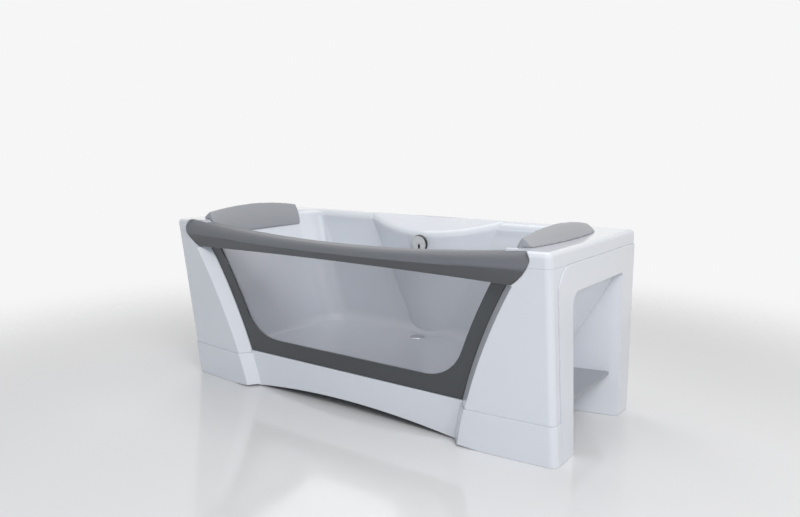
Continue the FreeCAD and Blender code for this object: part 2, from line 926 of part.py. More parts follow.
def niche_outline(x, grow, rear_shift, front_shift):
    low = -overrun
    top = niche_high + grow
    slope = (niche_front_high_depth - niche_front_low_depth) / niche_high
    rear_slope = (niche_rear_high_depth - niche_rear_low_depth) / niche_high
    front = lambda z: niche_front_low_depth + slope * z + grow - front_shift
    back = lambda z: niche_rear_low_depth + rear_slope * z - grow + rear_shift
    front_corner = rounded_corner((front(low), low), (front(top), top), (0, top), niche_front_reach)
    rear_corner = rounded_corner((bath_depth, top), (back(top), top), (back(low), low),
                                 niche_rear_reach)
    spot = lambda place: V(x, yd(place[0]), place[1])
    low_front = spot((front(low), low))
    low_back = spot((back(low), low))
    a = [spot(place) for place in front_corner]
    b = [spot(place) for place in rear_corner]
    return Part.Wire([line(low_front, a[0]), arc(*a), line(a[2], b[0]), arc(*b),
                      line(b[2], low_back), line(low_back, low_front)])


def niche_void(grow):
    # Room inside one end, open at the end and at the floor, under the sloping soffit.
    outer_x = half_length + overrun
    spread = (outer_x - half_length) / (half_length - niche_inner_half)
    inner_x = niche_inner_half - grow
    outer = niche_outline(outer_x, grow, -niche_draft_rear * spread, -niche_draft_front * spread)
    inner = niche_outline(inner_x, grow, niche_draft_rear, niche_draft_front)
    void = Part.makeLoft([outer, inner], True, True)
    lift = grow * math.hypot(1, soffit_run_share) / soffit_run_share
    low = V(soffit_low_half, -bath_depth, soffit_low_height + lift)
    reach = bath_depth
    up = V(reach * soffit_run_share, 0, reach)
    points = [low - up, low + up, low + up + V(-bath_length, 0, 0), low - up + V(-bath_length, 0, 0)]
    above = face(polygon(points)).extrude(V(0, 2 * bath_depth, 0))
    return void.cut(above)


def end_panel(pins):
    plate = contour_prism(half_length - panel_wall, half_length)
    plate = plate.common(box(0, bath_length, touch, bath_depth, floor_gap, bath_depth))
    liner = niche_void(liner_wall).cut(niche_void(0))
    liner = liner.common(box(0, half_length - panel_wall, -bath_depth, bath_depth,
                             floor_gap, bath_depth))
    return plate.cut(niche_void(0)).fuse(liner).removeSplitter().cut(pins)


def niche_side_depth(x, z, front):
    share = (half_length - x) / (half_length - niche_inner_half)
    if front:
        slope = (niche_front_high_depth - niche_front_low_depth) / niche_high
        return niche_front_low_depth + slope * z - niche_draft_front * share
    slope = (niche_rear_high_depth - niche_rear_low_depth) / niche_high
    return niche_rear_low_depth + slope * z + niche_draft_rear * share


def shelf():
    points = []
    for x, front in ((shelf_outer_half, False), (shelf_outer_half, True),
                     (shelf_inner_half, True), (shelf_inner_half, False)):
        depth = niche_side_depth(x, shelf_top, front)
        depth += -shelf_gap if front else shelf_gap
        points.append(V(x, yd(depth), shelf_top - shelf_thickness))
    plate = face(polygon(points)).extrude(V(0, 0, shelf_thickness))
    upright = [edge for edge in plate.Edges if abs(edge.Vertexes[0].Z - edge.Vertexes[-1].Z) > touch]
    return plate.makeFillet(shelf_corner_round, upright)


def shelf_pins():
    pins = []
    for x in (shelf_pin_outer, shelf_pin_inner):
        for front in (True, False):
            z = shelf_top - shelf_thickness - shelf_pin_radius
            depth = niche_side_depth(x, z, front)
            direction = 1 if front else -1
            start = V(x, yd(depth) - direction * liner_wall, z)
            pins.append(rod(start, V(0, direction, 0), shelf_pin_radius,
                            shelf_pin_reach + liner_wall))
    return Part.makeCompound(pins)


def screw(tip, direction, radius, length, head_radius, head_height):
    # A plain screw: shank from its tip, then the head.
    shank = rod(tip, direction, radius, length)
    head = rod(tip + direction * length, direction, head_radius, head_height)
    return shank.fuse(head).removeSplitter()


def arc_middle(x, start_depth, start_z, front, front_z):
    # Middle of the arc that ends upright at the front.
    reach = front - start_depth
    height = start_z - front_z
    radius = (reach ** 2 + height ** 2) / (2 * reach)
    angle = math.asin(height / radius) / 2
    return V(x, yd(front - radius + radius * math.cos(angle)), front_z + radius * math.sin(angle))


def rail_section(x):
    share = abs(x) / rail_half
    top = rail_top_middle + (rail_top_end - rail_top_middle) * share ** 2
    low = rail_low_middle + (rail_low_end - rail_low_middle) * share ** 2
    back = basin_front_depth - overrun
    crown = bath_depth - rail_crown_setback
    foot_setback = rail_foot_setback + (rail_foot_setback_end - rail_foot_setback) * share ** 2
    foot = bath_depth - foot_setback
    front_z = low + (top - low) * rail_crease_share
    a = V(x, yd(back), low)
    b = V(x, yd(back), top)
    c = V(x, yd(crown), top)
    d = arc_middle(x, crown, top, bath_depth, front_z)
    e = V(x, yd(bath_depth), front_z)
    f = V(x, yd(foot), low)
    return Part.Wire([line(a, b), line(b, c), arc(c, d, e), line(e, f), line(f, a)])


def top_rail():
    stations = [rail_half * share for share in (-1, -0.5, 0, 0.5, 1)]
    bar = Part.makeLoft([rail_section(x) for x in stations], True, False)
    rail = bar.common(rail_space(0, recess_top))
    stack = sheet([[(-bath_length, 0), (bath_length, 0)],
                   [(bath_length, 0), (bath_length, front_wall_top + rail_gap)],
                   [(bath_length, front_wall_top + rail_gap), (-bath_length, front_wall_top + rail_gap)],
                   [(-bath_length, front_wall_top + rail_gap), (-bath_length, 0)]],
                  window_depth + rail_gap, bath_depth)
    return largest_solid(rail.cut(stack).cut(rail_bar_space()).cut(rail_screw_space()))


def rail_bar_space():
    return box(-rail_bar_half, rail_bar_half, rail_bar_depth, rail_bar_depth + rail_bar_width,
               rail_bar_low, rail_bar_low + rail_bar_height)


def rail_screws():
    screws = []
    depth = rail_bar_depth + rail_bar_width / 2
    for number in range(rail_bolt_count):
        x = (number - (rail_bolt_count - 1) / 2) * rail_bolt_pitch
        length = rail_bar_low + rail_bar_height - recess_top - 2 * rail_bolt_head_height
        tip = V(x, yd(depth), rail_bar_low + rail_bar_height)
        screws.append(screw(tip, V(0, 0, -1), rail_bolt_radius, length,
                            rail_bolt_head_radius, rail_bolt_head_height))
    return Part.makeCompound(screws)


def rail_screw_space():
    depth = rail_bar_depth + rail_bar_width / 2
    spaces = []
    for number in range(rail_bolt_count):
        x = (number - (rail_bolt_count - 1) / 2) * rail_bolt_pitch
        foot = V(x, yd(depth), recess_top - overrun)
        rise = rail_bar_low - foot.z
        spaces.append(rod(foot, V(0, 0, 1), rail_bolt_radius, rise))
        counterbore = recess_top + 2 * rail_bolt_head_height - foot.z
        spaces.append(rod(foot, V(0, 0, 1), rail_bolt_head_radius + rail_gap, counterbore))
    return fuse_all(spaces)


def pad_section(depth):
    # Cross-section of a headrest pad; it is crowned, and lowest where it hangs into the basin.
    middle_depth = (pad_rear_depth + pad_front_depth) / 2
    reach = (pad_front_depth - pad_rear_depth) / 2
    share = ((depth - middle_depth) / reach) ** 2
    mix = lambda at_middle, at_end: at_middle + (at_end - at_middle) * share
    back = mix(pad_back_half, pad_back_half_end)
    inner = mix(pad_inner_half, pad_inner_half_end)
    ridge = mix(pad_ridge_height, pad_ridge_end_height)
    bulge = mix(pad_back_bulge, pad_back_bulge_end)
    spot = lambda x, z: V(x, yd(depth), z)
    base = rim_height - pad_pin_below
    low = pad_low
    a = spot(back, base)
    c = spot(pad_ridge_half, ridge)
    b = spot((a.x + c.x) / 2 + bulge, (a.z + c.z) / 2 + bulge)
    e = spot(inner, low)
    d = spot((c.x + e.x) / 2 - pad_front_bulge, (c.z + e.z) / 2 + pad_front_bulge)
    return Part.Wire([arc(a, b, c), arc(c, d, e), line(e, a)])


def headrest_pad(air):
    count = 6
    step = (pad_front_depth - pad_rear_depth) / count
    sections = [pad_section(pad_rear_depth + number * step) for number in range(count + 1)]
    body = Part.makeLoft(sections, True, False)
    body = body.common(air)
    body = body.cut(rail_space(rail_gap + pad_clearance, recess_top))
    pad = largest_solid(body)
    for depth in pad_pin_depths:
        pad = pad.cut(rod(V(pad_pin_half, yd(depth), rim_height - overrun), V(0, 0, 1),
                          pad_pin_radius, overrun + pad_pin_above))
    return pad


def headrest_pins():
    pins = []
    for depth in pad_pin_depths:
        pins.append(rod(V(pad_pin_half, yd(depth), rim_height - pad_pin_below), V(0, 0, 1),
                        pad_pin_radius, pad_pin_below + pad_pin_above))
    return Part.makeCompound(pins)


def headrest_grommets():
    grommets = []
    for depth in pad_pin_depths:
        foot = V(pad_pin_half, yd(depth), rim_under - grommet_flange_height)
        sleeve = rod(foot, V(0, 0, 1), grommet_radius, shell_wall + grommet_flange_height)
        flange = rod(foot, V(0, 0, 1), grommet_flange_radius, grommet_flange_height)
        bore = rod(foot, V(0, 0, 1), pad_pin_radius + pin_fit, overrun)
        grommets.append(sleeve.fuse(flange).cut(bore).removeSplitter())
    return Part.makeCompound(grommets)


def square_tube(x0, x1, depth0, depth1, z0, z1, along):
    outer = box(x0, x1, depth0, depth1, z0, z1)
    t = tube_wall
    if along == "x":
        inner = box(x0, x1, depth0 + t, depth1 - t, z0 + t, z1 - t)
    elif along == "y":
        inner = box(x0 + t, x1 - t, depth0, depth1, z0 + t, z1 - t)
    else:
        inner = box(x0 + t, x1 - t, depth0 + t, depth1 - t, z0, z1)
    return outer.cut(inner)


def foot_places(depth):
    return [(-foot_half, depth), (foot_half, depth)]


def frame_rail(depth):
    rail = square_tube(-frame_half_length, frame_half_length, depth - rail_tube_depth / 2,
                       depth + rail_tube_depth / 2, rail_tube_low, cross_low, "x")
    for x, foot_depth in foot_places(depth):
        rail = rail.cut(rod(V(x, yd(foot_depth), rail_tube_low - overrun), V(0, 0, 1),
                            foot_stud_radius + rail_gap, rail_tube_height + 2 * overrun))
    return rail.cut(frame_bolts())


def frame_cross(x):
    cross = square_tube(x - cross_tube_width / 2, x + cross_tube_width / 2,
                        frame_rear_depth - rail_tube_depth / 2,
                        frame_front_depth + rail_tube_depth / 2, cross_low, board_low, "y")
    return cross.cut(frame_bolts())


def frame_uprights():
    posts = []
    top = rim_under - bracket_thickness
    for x in (-upright_half, upright_half):
        for depth in (frame_rear_depth, frame_front_depth):
            posts.append(square_tube(x - upright_size / 2, x + upright_size / 2,
                                     depth - upright_size / 2, depth + upright_size / 2,
                                     cross_low, top, "z"))
    return Part.makeCompound(posts)


def rim_brackets():
    plates = []
    top = rim_under
    for x in (-upright_half, upright_half):
        for depth in (frame_rear_depth, frame_front_depth):
            plates.append(box(x - bracket_width / 2, x + bracket_width / 2,
                              depth - bracket_width / 2, depth + bracket_width / 2,
                              top - bracket_thickness, top))
    return Part.makeCompound(plates)


def frame_bolts():
    bolts = []
    for half in cross_half_places:
        for x in (-half, half):
            for depth in (frame_rear_depth, frame_front_depth):
                length = rail_tube_height + cross_tube_width
                tip = V(x, yd(depth), board_low)
                bolts.append(screw(tip, V(0, 0, -1), frame_bolt_radius, length,
                                   frame_bolt_head_radius, frame_bolt_head_height))
    return Part.makeCompound(bolts)


def base_board():
    board = box(-board_half_length, board_half_length, board_rear_depth, board_front_depth,
                board_low, floor_under)
    return board.cut(rod(V(0, yd(waste_depth), board_low - overrun), V(0, 0, 1),
                         board_notch_radius, board_thickness + 2 * overrun))


def foot_stud(x, depth):
    low = foot_pad_height - foot_pad_socket
    return rod(V(x, yd(depth), low), V(0, 0, 1), foot_stud_radius, foot_stud_top - low)


def foot_pad(x, depth):
    base = Part.makeCone(foot_pad_radius, foot_stud_radius * 2, foot_pad_height, V(x, yd(depth), 0),
                         V(0, 0, 1))
    return base.cut(foot_stud(x, depth))


def foot_nuts():
    nuts = []
    for depth in (frame_rear_depth, frame_front_depth):
        for x, foot_depth in foot_places(depth):
            for z in (rail_tube_low - foot_nut_height, cross_low):
                nut = hexagon(V(x, yd(foot_depth), z), foot_nut_radius, foot_nut_height)
                bore = rod(V(x, yd(foot_depth), z), V(0, 0, 1), foot_stud_radius + thread_fit,
                           foot_nut_height)
                nuts.append(nut.cut(bore))
    return Part.makeCompound(nuts)


def waste_centre(z):
    return V(0, yd(waste_depth), z)


def waste_flange():
    up = V(0, 0, 1)
    disc = Part.makeCone(waste_flange_radius, waste_flange_radius - waste_flange_height,
                         waste_flange_height, waste_centre(basin_floor), up)
    tail_low = floor_under - waste_seal_height - waste_tail_length
    top = basin_floor + waste_flange_height
    tail = rod(waste_centre(tail_low), up, waste_hole_radius, top - tail_low)
    bore = rod(waste_centre(tail_low), up, waste_hole_radius - waste_tail_wall, top - tail_low)
    # The plug seats in a shallow step of the flange, over a hub on a cross web.
    seat_low = basin_floor - plug_seal_height
    seat = rod(waste_centre(seat_low), up, plug_radius + waste_tail_gap, overrun)
    ring = disc.fuse(tail).cut(bore)
    ring = ring.fuse(rod(waste_centre(seat_low - waste_flange_height), up, waste_hole_radius,
                         waste_flange_height)
                     .cut(rod(waste_centre(seat_low - overrun), up,
                              waste_hole_radius - 2 * waste_tail_wall, 2 * overrun)))
    reach = waste_hole_radius - waste_tail_wall / 2
    hub_low = seat_low - waste_flange_height - hub_height
    bars = []
    for turn in (0, 1):
        a = reach if turn == 0 else web_width / 2
        b = web_width / 2 if turn == 0 else reach
        bars.append(Part.makeBox(2 * a, 2 * b, hub_height, waste_centre(hub_low) - V(a, b, 0)))
    hub = rod(waste_centre(hub_low), up, hub_radius, hub_height)
    hub_bore = rod(waste_centre(hub_low - overrun), up, plug_stem_radius + pin_fit,
                   hub_height + 2 * overrun)
    whole = fuse_all([ring, hub] + bars)
    return whole.cut(hub_bore).cut(seat)


def waste_plug():
    up = V(0, 0, 1)
    head_low = basin_floor
    head = Part.makeCone(plug_radius, plug_radius - plug_height / 2, plug_height,
                         waste_centre(head_low), up)
    stem = rod(waste_centre(plug_stem_low), up, plug_stem_radius, head_low - plug_stem_low)
    return head.fuse(stem).removeSplitter()


def plug_seal():
    up = V(0, 0, 1)
    low = basin_floor - plug_seal_height + touch
    ring = rod(waste_centre(low), up, plug_radius - touch, basin_floor - low)
    return ring.cut(rod(waste_centre(low - overrun), up, plug_stem_radius, 2 * overrun))


def waste_seal():
    low = floor_under - waste_seal_height
    ring = rod(waste_centre(low), V(0, 0, 1), waste_seal_radius, waste_seal_height)
    return ring.cut(rod(waste_centre(low), V(0, 0, 1), waste_hole_radius, waste_seal_height))


def waste_body():
    up = V(0, 0, 1)
    top = floor_under - waste_seal_height
    cup = rod(waste_centre(waste_body_low), up, waste_body_radius, top - waste_body_low)
    inside = rod(waste_centre(waste_body_low + waste_body_wall), up,
                 waste_body_radius - waste_body_wall, top - waste_body_low)
    rim = rod(waste_centre(top - waste_body_wall), up, waste_body_radius, waste_body_wall)
    neck = rod(waste_centre(waste_body_low - trap_nut_height), up, pipe_radius,
               trap_nut_height + waste_body_wall)
    neck_bore = rod(waste_centre(waste_body_low - trap_nut_height - overrun), up,
                    pipe_radius - pipe_wall, 2 * overrun + trap_nut_height)
    port_z = drop_pipe_low
    reach = waste_depth - drop_pipe_depth - drop_pipe_radius
    port = rod(V(0, yd(waste_depth), port_z), V(0, 1, 0), drop_pipe_radius + drop_pipe_wall, reach / 2)
    port_bore = rod(V(0, yd(waste_depth), port_z), V(0, 1, 0), drop_pipe_radius, overrun + reach)
    tail_space = rod(waste_centre(waste_body_low), up, waste_hole_radius, top - waste_body_low + overrun)
    boss_start = cable_end() - V(0, waste_body_radius, 0)
    boss_length = waste_body_radius + cable_boss_length / 2
    boss = rod(boss_start, V(0, 1, 0), cable_radius + cable_boss_wall, boss_length)
    cable_bore = rod(cable_end(), V(0, 1, 0), cable_radius, cable_boss_length)
    body = fuse_all([cup, neck, port, boss]).cut(inside).fuse(rim.cut(tail_space))
    return body.cut(neck_bore).cut(port_bore).cut(cable_bore).removeSplitter()


def trap_nut():
    low = waste_body_low - trap_nut_height
    ring = hexagon(waste_centre(low), trap_nut_radius, trap_nut_height)
    return ring.cut(rod(waste_centre(low), V(0, 0, 1), pipe_radius, trap_nut_height))


def trap_body():
    # Low bottle trap under the waste, with a side branch for the outlet pipe.
    up = V(0, 0, 1)
    top = waste_body_low - trap_nut_height
    cup = rod(waste_centre(trap_low), up, trap_radius, top - trap_low)
    inside = rod(waste_centre(trap_low + trap_wall), up, trap_radius - trap_wall,
                 top - trap_low - 2 * trap_wall)
    mouth = rod(waste_centre(top - 2 * trap_wall), up, pipe_radius - pipe_wall, overrun)
    branch_length = trap_radius + trap_branch_length
    branch = rod(V(0, yd(waste_depth), outlet_height), V(0, 1, 0), pipe_radius + pipe_wall,
                 branch_length)
    branch_bore = rod(V(0, yd(waste_depth), outlet_height), V(0, 1, 0), pipe_radius, bath_depth)
    return fuse_all([cup, branch]).cut(inside).cut(mouth).cut(branch_bore)


def outlet_pipe():
    start_depth = waste_depth - trap_radius
    return tube(V(0, yd(start_depth), outlet_height), V(0, 1, 0), pipe_radius, pipe_wall,
                start_depth)


def at_overflow(shape):
    # Moves a shape built along +Z from the origin onto the overflow hole.
    turn = FreeCAD.Rotation(V(0, 0, 1), overflow_axis())
    placed = shape.copy()
    placed.Placement = FreeCAD.Placement(overflow_point(), turn)
    return placed


def overflow_collar():
    # Ring on the basin side, a sleeve through the wall, and a bearing for the knob's shaft.
    up = V(0, 0, 1)
    ring = rod(V(0, 0, 0), up, collar_radius, collar_height)
    sleeve_length = shell_wall + elbow_seal_height + elbow_wall
    sleeve_radius = overflow_hole_radius - waste_tail_gap
    sleeve = rod(V(0, 0, -sleeve_length), up, sleeve_radius, sleeve_length)
    bore = rod(V(0, 0, -sleeve_length), up, sleeve_radius - collar_tube_wall,
               sleeve_length + collar_height)
    reach = sleeve_radius - collar_tube_wall / 2
    bars = []
    for turn in (0, 1):
        a = reach if turn == 0 else web_width / 2
        b = web_width / 2 if turn == 0 else reach
        bars.append(Part.makeBox(2 * a, 2 * b, collar_height, V(-a, -b, -collar_height)))
    hub = rod(V(0, 0, -hub_height), up, hub_radius, hub_height)
    hub_bore = rod(V(0, 0, -overrun), up, knob_shaft_radius + pin_fit, 2 * overrun)
    return at_overflow(fuse_all([ring.fuse(sleeve).cut(bore), hub] + bars).cut(hub_bore))


def overflow_knob():
    # Round cap with a flared rim and a grip notch, on a short shaft.
    up = V(0, 0, 1)
    low = collar_height + knob_standoff
    cap = Part.makeCone(knob_radius, knob_radius - knob_wall, knob_height - knob_standoff,
                        V(0, 0, low), up)
    inside = rod(V(0, 0, low - knob_wall), up, knob_radius - 2 * knob_wall,
                 knob_height - knob_standoff)
    notch = rod(V(0, -knob_radius, low + knob_height - knob_wall), V(0, 1, 0), knob_grip_radius,
                knob_radius)
    shaft_low = -hub_height - knob_shaft_tail
    shaft = rod(V(0, 0, shaft_low), up, knob_shaft_radius, low + knob_height - knob_wall - shaft_low)
    return at_overflow(cap.cut(inside).cut(notch).fuse(shaft).removeSplitter())


def overflow_seal():
    up = V(0, 0, 1)
    top = -shell_wall
    ring = rod(V(0, 0, top - elbow_seal_height), up, elbow_radius, elbow_seal_height)
    return at_overflow(ring.cut(rod(V(0, 0, top - overrun), up,
                                    overflow_hole_radius - waste_tail_gap, 2 * overrun)))


def overflow_elbow():
    # Cup behind the wall, with a spout that turns down into the drop pipe.
    up = V(0, 0, 1)
    top = -shell_wall - elbow_seal_height
    cup = rod(V(0, 0, top - elbow_reach), up, elbow_radius, elbow_reach)
    inside = rod(V(0, 0, top - elbow_reach + elbow_wall), up, elbow_radius - elbow_wall,
                 elbow_reach - 2 * elbow_wall)
    mouth = rod(V(0, 0, top - overrun / 2), up, overflow_hole_radius - waste_tail_gap, overrun)
    spout_outer = drop_pipe_radius + elbow_wall
    spout_point = V(0, yd(elbow_spout_depth()), overflow_height)
    spout = rod(spout_point, V(0, 0, -1), spout_outer, elbow_radius + elbow_socket_depth)
    spout_bore = rod(spout_point - V(0, 0, elbow_wall), V(0, 0, -1), drop_pipe_radius, 2 * overrun)
    cable_top = drop_pipe_route()[0] + V(cable_side, 0, 0)
    boss = rod(cable_top + V(0, 0, cable_boss_length), V(0, 0, -1),
               cable_radius + cable_boss_wall, elbow_boss_length)
    cable_bore = rod(cable_top, V(0, 0, -1), cable_radius, cable_boss_length)
    body = at_overflow(cup).fuse(spout).fuse(boss)
    body = body.cut(at_overflow(inside)).cut(at_overflow(mouth)).cut(spout_bore)
    return body.cut(cable_bore).removeSplitter()


def elbow_spout_depth():
    point = overflow_point() - overflow_axis() * (shell_wall + elbow_seal_height + elbow_reach / 2)
    return rear - point.y


def drop_pipe_route():
    # Down inside the bay, back over the floor's edge, down and forward into the waste body.
    start_depth = elbow_spout_depth()
    start_z = overflow_height - elbow_radius - elbow_wall
    bend_z = start_z - drop_pipe_start
    last_depth = waste_depth - waste_body_radius + waste_body_wall
    return [V(0, yd(start_depth), start_z), V(0, yd(start_depth), bend_z),
            V(0, yd(drop_pipe_depth), bend_z - drop_pipe_slant),
            V(0, yd(drop_pipe_depth), drop_pipe_low), V(0, yd(last_depth), drop_pipe_low)]


def rounded_path(points, radius):
    edges = []
    last = points[0]
    for number in range(1, len(points) - 1):
        before, corner, after = points[number - 1], points[number], points[number + 1]
        to_before = before - corner
        to_after = after - corner
        half_angle = to_before.getAngle(to_after) / 2
        reach = radius / math.tan(half_angle)
        to_before.normalize()
        to_after.normalize()
        centre_line = to_before + to_after
        centre_line.normalize()
        start = corner + to_before * reach
        end = corner + to_after * reach
        middle = corner + centre_line * (radius / math.sin(half_angle) - radius)
        edges.append(line(last, start))
        edges.append(arc(start, middle, end))
        last = end
    edges.append(line(last, points[-1]))
    return Part.Wire(edges)


def swept_rod(path, radius):
    start, after = path.Edges[0].valueAt(path.Edges[0].FirstParameter), path.Edges[0].valueAt(
        path.Edges[0].LastParameter)
    profile = Part.Wire([Part.makeCircle(radius, start, after - start)])
    return path.makePipeShell([profile], True, False)


def overflow_pipe():
    path = rounded_path(drop_pipe_route(), drop_pipe_bend)
    return swept_rod(path, drop_pipe_radius - drop_pipe_fit).cut(
        swept_rod(path, drop_pipe_radius - drop_pipe_wall))


def cable_end():
    # Bottom of the blind hole in the waste body's boss.
    return V(cable_side, yd(waste_depth - waste_body_radius), drop_pipe_low)


def control_cable():
    # Cable tube beside the drop pipe, from the knob's housing to the waste body.
    shift = V(cable_side, 0, 0)
    route = [point + shift for point in drop_pipe_route()]
    route[-1] = cable_end()
    path = rounded_path(route, drop_pipe_radius * 2)
    return swept_rod(path, cable_radius)


def rear_panel():
    half = half_length - panel_wall
    panel = box(-half, half, 0, rear_panel_thickness, floor_gap, band_low)
    opening = box(-hatch_half, hatch_half, -overrun, overrun, hatch_low, hatch_high)
    panel = panel.cut(opening)
    return panel.cut(rod(V(0, yd(overrun), outlet_height), V(0, 1, 0), pipe_radius + rail_gap,
                         2 * overrun))


def service_hatch():
    lid = box(-hatch_half + hatch_gap, hatch_half - hatch_gap, 0, rear_panel_thickness,
              hatch_low + hatch_gap, hatch_high - hatch_gap)
    notch = rod(V(0, yd(overrun), outlet_height), V(0, 1, 0), pipe_radius + rail_gap, 2 * overrun)
    return lid.cut(notch).cut(hatch_screws())


def hatch_straps():
    # Two upright strips behind the opening that the hatch is screwed to.
    straps = []
    for side in (-1, 1):
        x = side * hatch_half
        strap = box(x - hatch_lap, x + hatch_lap, rear_panel_thickness,
                    rear_panel_thickness + hatch_thickness,
                    hatch_low + hatch_lap, hatch_high - hatch_lap)
        straps.append(strap.cut(hatch_screws()))
    return Part.makeCompound(straps)


def hatch_screws():
    screws = []
    for side in (-1, 1):
        for z in (hatch_low + 2 * hatch_lap, hatch_high - 2 * hatch_lap):
            x = side * (hatch_half - hatch_lap / 2)
            reach = rear_panel_thickness + hatch_thickness
            screws.append(screw(V(x, yd(reach), z), V(0, 1, 0), panel_screw_radius,
                                reach - panel_screw_head_height,
                                panel_screw_head_radius, panel_screw_head_height))
    return Part.makeCompound(screws)


def write(name, shape):
    shape.exportStep("parts/" + name + ".step")
    bounds = shape.optimalBoundingBox(False, False)
    print(name, len(shape.Solids), "valid" if shape.isValid() else "NOT VALID",
          round(shape.Volume / 1000), round(bounds.XMin, 1), round(bounds.XMax, 1),
          round(bounds.YMin, 1), round(bounds.YMax, 1), round(bounds.ZMin, 1),
          round(bounds.ZMax, 1))


def main():
    os.makedirs("parts", exist_ok=True)
    air = air_form(0)
    write("basin_shell", basin_shell(air))
    write("base_board", base_board())
    pillar = front_pillar()
    write("front_pillar_right", pillar)
    write("front_pillar_left", mirrored(pillar))
    write("front_plinth", front_plinth(both(pillar)))
    pins = shelf_pins()
    panel = end_panel(pins)
    write("end_panel_right", panel)
    write("end_panel_left", mirrored(panel))
    plate = shelf()
    write("shelf_right", plate)
    write("shelf_left", mirrored(plate))
    write("shelf_pins", both(pins))
    write("window_frame", window_frame())
    write("window_glass", window_glass())
    write("window_gasket", window_gasket())
    write("top_rail", top_rail())
    screws = rail_screws()
    write("rail_stiffener", rail_bar_space().cut(screws))
    write("rail_screws", screws)
    clear_air = air_form(-pad_clearance)
    pad = headrest_pad(clear_air)
    write("headrest_pad_right", pad)
    write("headrest_pad_left", mirrored(pad))
    pad_pins = headrest_pins()
    write("headrest_pins_right", pad_pins)
    write("headrest_pins_left", mirrored(pad_pins))
    write("headrest_grommets", both(headrest_grommets()))
    write("frame_rail_front", frame_rail(frame_front_depth))
    write("frame_rail_rear", frame_rail(frame_rear_depth))
    write("frame_uprights", frame_uprights())
    write("rim_brackets", rim_brackets())
    write("frame_bolts", frame_bolts())
    write("foot_nuts", foot_nuts())
    write("waste_flange", waste_flange())
    write("waste_plug", waste_plug())
    write("plug_seal", plug_seal())
    write("waste_seal", waste_seal())
    write("waste_body", waste_body())
    write("trap_nut", trap_nut())
    write("trap_body", trap_body())
    write("outlet_pipe", outlet_pipe())
    write("overflow_collar", overflow_collar())
    write("overflow_knob", overflow_knob())
    write("overflow_seal", overflow_seal())
    write("overflow_elbow", overflow_elbow())
    write("overflow_pipe", overflow_pipe())
    write("control_cable", control_cable())
    write("rear_panel", rear_panel())
    write("service_hatch", service_hatch())
    write("hatch_straps", hatch_straps())
    write("hatch_screws", hatch_screws())
    for half, name in ((cross_half_places[0], "inner"), (cross_half_places[1], "outer")):
        write("frame_cross_" + name + "_right", frame_cross(half))
        write("frame_cross_" + name + "_left", frame_cross(-half))
    for depth, name in ((frame_front_depth, "front"), (frame_rear_depth, "rear")):
        for x, side in ((-foot_half, "left"), (foot_half, "right")):
            write("foot_stud_" + name + "_" + side, foot_stud(x, depth))
            write("foot_pad_" + name + "_" + side, foot_pad(x, depth))


main()
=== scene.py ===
import json
import math

import bmesh
import bpy
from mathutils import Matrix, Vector

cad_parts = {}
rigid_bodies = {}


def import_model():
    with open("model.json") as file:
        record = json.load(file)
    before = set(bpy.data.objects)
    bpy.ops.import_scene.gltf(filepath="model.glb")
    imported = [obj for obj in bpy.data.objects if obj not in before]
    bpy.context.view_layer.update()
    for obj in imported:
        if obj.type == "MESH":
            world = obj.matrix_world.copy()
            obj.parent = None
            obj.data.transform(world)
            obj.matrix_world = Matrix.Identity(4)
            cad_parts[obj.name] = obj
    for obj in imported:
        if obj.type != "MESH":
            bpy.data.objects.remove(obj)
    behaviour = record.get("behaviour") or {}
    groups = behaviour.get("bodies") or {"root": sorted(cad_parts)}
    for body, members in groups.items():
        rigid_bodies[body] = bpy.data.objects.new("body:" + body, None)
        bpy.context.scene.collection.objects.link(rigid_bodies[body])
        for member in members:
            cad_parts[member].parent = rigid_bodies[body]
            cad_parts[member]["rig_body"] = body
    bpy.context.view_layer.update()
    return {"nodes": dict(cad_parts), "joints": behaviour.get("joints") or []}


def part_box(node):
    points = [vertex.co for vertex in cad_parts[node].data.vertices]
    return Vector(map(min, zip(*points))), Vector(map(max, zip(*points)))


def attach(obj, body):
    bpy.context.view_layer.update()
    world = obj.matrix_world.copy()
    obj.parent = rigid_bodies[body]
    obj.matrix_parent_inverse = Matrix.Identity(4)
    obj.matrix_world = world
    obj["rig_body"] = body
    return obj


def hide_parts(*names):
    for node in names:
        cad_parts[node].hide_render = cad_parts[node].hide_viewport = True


bl_info = {
    "name": "Glass-fronted bath",
    "version": (1, 0, 0),
    "blender": (4, 5, 0),
    "location": "View3D > Sidebar > Bath",
    "description": "Dresses the packed bathtub with its finishes, soft pieces and studio",
    "category": "Object",
}

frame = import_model()

WHITE_NODES = ("basin_shell", "front_pillar_left", "front_pillar_right", "front_plinth",
               "end_panel_left", "end_panel_right", "rear_panel", "service_hatch")
STEEL_FRAME_NODES = ("frame_rail_front", "frame_rail_rear", "frame_cross_inner_left",
                     "frame_cross_inner_right", "frame_cross_outer_left",
                     "frame_cross_outer_right", "frame_uprights", "rim_brackets")
ZINC_NODES = ("frame_bolts", "foot_nuts", "hatch_straps", "hatch_screws", "rail_stiffener",
              "rail_screws", "foot_stud_front_left", "foot_stud_front_right",
              "foot_stud_rear_left", "foot_stud_rear_right", "headrest_pins_left",
              "headrest_pins_right")
PIPE_NODES = ("waste_body", "trap_nut", "trap_body", "outlet_pipe", "overflow_elbow",
              "overflow_pipe")
RUBBER_NODES = ("window_gasket", "waste_seal", "plug_seal", "overflow_seal", "control_cable")
CHROME_NODES = ("overflow_collar", "waste_flange", "waste_plug")
MOULDED_NODES = ("headrest_grommets", "shelf_pins")
FEET = ("front_left", "front_right", "rear_left", "rear_right")
SIDES = ("left", "right")

# Studio, in metres and degrees

FLOOR_RADIUS = 14.0
FLOOR_FADE_START = 1.2
FLOOR_FADE_END = 3.3
LAMP_TARGET = (0.0, 0.0, 0.3)
WHITE_LIGHT = (1.0, 1.0, 1.0)
COOL_LIGHT = (0.78, 0.89, 1.0)
